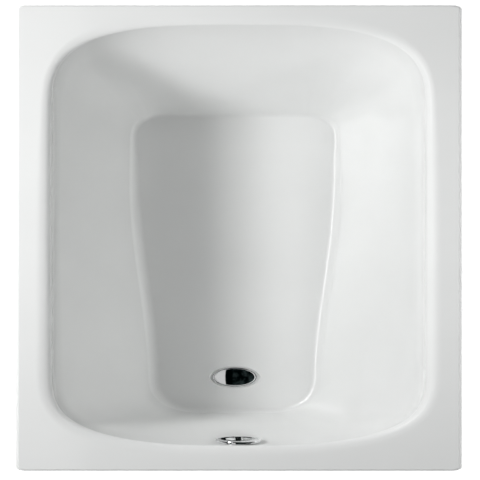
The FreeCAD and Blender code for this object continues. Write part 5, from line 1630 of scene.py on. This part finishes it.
def sheet_at(name, size_x, size_y, place, mat):
    b = Build()
    n = 4
    ids = [
        b.points(
            [((i / n - 0.5) * size_x * 1000, (j / n - 0.5) * size_y * 1000, 0) for i in range(n + 1)]
        )
        for j in range(n + 1)
    ]
    for j in range(n):
        for i in range(n):
            b.face((ids[j][i], ids[j][i + 1], ids[j + 1][i + 1], ids[j + 1][i]))
    o = b.object(name, [mat], place)
    return o


def floor_painted_shadow_material():
    """Pale glowing floor with a painted shadow: its glow is dimmer in a soft patch under the bath."""
    m = stage_mat("floor_white", (0.86, 0.86, 0.86), 0.93)
    nt = m.node_tree
    grad = node(nt, "ShaderNodeTexGradient", gradient_type="SPHERICAL")
    nt.links.new(coords(nt, (1.9, 0.98, 1.0)), grad.inputs["Vector"])
    # painted shadow: the glow drops to half under the middle of the bath and is full further out
    c = ramp(nt, grad.outputs["Fac"], [(0.0, (1, 1, 1)), (0.22, (0.97, 0.97, 0.97)), (0.5, (0.6, 0.6, 0.6)), (1.0, (0.5, 0.5, 0.5))])
    nt.links.new(c, nt.nodes["Principled BSDF"].inputs["Emission Color"])
    return m


floor = sheet_at("floor", 24, 24, Matrix.Translation((0, 0, -0.0005)), floor_painted_shadow_material())


def only(o, **seen):
    for k in ("camera", "diffuse", "glossy", "transmission", "volume_scatter", "shadow"):
        setattr(o, "visible_" + k, seen.get(k, False))


dome_b = Build()
lathe(dome_b, [(0, -11.0e3)] + [(11.0e3 * math.cos(math.radians(a)), 11.0e3 * math.sin(math.radians(a))) for a in range(-85, 86, 5)] + [(0, 11.0e3)], 48, closed=False)
dome = dome_b.object("backdrop", [stage_mat("backdrop_white", (0, 0, 0), 0.97)])
only(dome, camera=True)


def card_dark_material():
    """Dark cloth with soft folds."""
    m = stage_mat("card_dark", (0, 0, 0), 1.0)
    nt = m.node_tree
    fold = noise(nt, coords(nt, (1.0, 0.45, 1.0)), 1.3, 3.0, 0.6)
    c = ramp(nt, fold, [(0.42, (0.0, 0.001, 0.001)), (0.58, (0.018, 0.026, 0.026)), (0.72, (0.06, 0.075, 0.075))])
    nt.links.new(c, nt.nodes["Principled BSDF"].inputs["Emission Color"])
    return m


dark = card_dark_material()
pale = stage_mat("card_pale", (0, 0, 0), 0.62)
bright = stage_mat("card_bright", (0, 0, 0), 5.6)
brighter = stage_mat("card_brighter", (0, 0, 0), 14.0)
for card, sx, sy, x, y, z, m in (
    ("card_black", 3.276, 5.8, 0.812, -0.5, 3.2, dark),
    ("card_white", 1.374, 5.8, -1.513, -0.5, 3.2, pale),
    ("card_strip", 1.0, 1.25, -2.7, -0.125, 3.2, bright),
    ("card_strip_head", 1.0, 2.1, -2.7, 1.55, 3.2, brighter),
    # two flags that keep the bright card off the roll of the right side
    ("flag_black", 0.186, 1.9, -0.143, 0.0, 1.0, dark),
    ("flag_white", 0.124, 1.9, -0.298, 0.0, 1.0, pale),
):
    only(sheet_at(card, sx, sy, Matrix.Translation((x, y, z)), m), glossy=True)


def waste_painted_reflection_material():
    """Painted reflection of the waste: a glowing disc, dark where it is seen along the bath from the knob and as pale
    as the floor where it is seen from the side walls.
    """
    m = stage_mat("painted_waste_reflection", (0, 0, 0), 1.0)
    nt = m.node_tree
    split = node(nt, "ShaderNodeSeparateXYZ")
    nt.links.new(node(nt, "ShaderNodeNewGeometry").outputs["Incoming"], split.inputs[0])
    side = node(nt, "ShaderNodeMath", operation="ABSOLUTE")
    nt.links.new(split.outputs["X"], side.inputs[0])
    # painted reflection: dark when seen along the bath, pale when seen across it
    c = ramp(nt, side.outputs[0], [(0.0, (0.01, 0.012, 0.012)), (0.2, (0.01, 0.012, 0.012)), (0.4, (0.6, 0.6, 0.6)), (1.0, (0.6, 0.6, 0.6))])
    nt.links.new(c, nt.nodes["Principled BSDF"].inputs["Emission Color"])
    return m


# the walls mirror this glowing disc, a painted reflection, in place of the real plug and flange
waste_reflection_build = Build()
lathe(waste_reflection_build, [(0, 0.2), (33.5, 0.0)], 48, closed=False)
waste_reflection_disc = waste_reflection_build.object("painted_waste_reflection", [waste_painted_reflection_material()])
waste_reflection_disc.matrix_world = Matrix.Translation((0, -0.508, 0.1712))
only(waste_reflection_disc, glossy=True)
bpy.data.objects["drain_plug_visual"].visible_glossy = False
bpy.data.objects["drain_flange_visual"].visible_glossy = False


def area(name, loc, aim, sx, sy, watts, colour=(1, 1, 1), spread=180, glossy=True):
    l = bpy.data.lights.new(name, "AREA")
    l.shape = "RECTANGLE"
    l.size, l.size_y = sx, sy
    l.energy = watts
    l.color = colour
    l.spread = math.radians(spread)
    o = bpy.data.objects.new(name, l)
    o.location = loc
    o.rotation_euler = (Vector(aim) - Vector(loc)).to_track_quat("-Z", "Y").to_euler()
    scene.collection.objects.link(o)
    o.visible_glossy = glossy
    o.visible_camera = False
    return o


for lamp, loc, sx, sy, watts in (
    ("key_light", (-2.158, 0.8, 2.9), 0.6, 0.6, 34.1),
    ("key_near", (-1.7, 0.6, 2.4), 0.4, 0.4, 16.5),
    ("key_low", (-2.5, 0.2, 2.9), 0.6, 0.6, 10.2),
    ("key_high", (-1.9, 1.3, 2.7), 0.6, 0.6, 6.6),
    ("fill_left", (-4, 0, 2.2), 3, 3, 42),
    ("fill_foot", (-2.2, -2.2, 2.9), 0.8, 0.8, 3.0),
):
    area(lamp, loc, (0, 0, 0.4), sx, sy, watts, glossy=False)
area("fill_over", (0.8, 0, 2.0), (0.64, 0, 0), 0.6, 0.6, 4.2, glossy=False)
area("fill_wall", (3.27, 0, 3.25), (-0.2, 0, 0.3), 3.0, 0.15, 14.5, glossy=False)
area("fill_floor", (1.6, 0, 3.4), (0.1, 0, 0.3), 1.0, 0.3, 5.5, glossy=False)
area("fill_head", (-0.6, -2.5, 2.6), (0, 0.5, 0.3), 0.6, 0.6, 4.9, glossy=False)
area("fill_right", (3.0, 0, 0.42), (0.35, 0, 0.5), 2.4, 0.3, 32, glossy=False)

world = bpy.data.worlds.new("studio")
scene.world = world
world.use_nodes = True
bg = world.node_tree.nodes["Background"]
bg.inputs[0].default_value = (0.97, 1.0, 0.985, 1)
bg.inputs[1].default_value = 0.09
scene.view_settings.view_transform = "Standard"
scene.view_settings.look = "None"
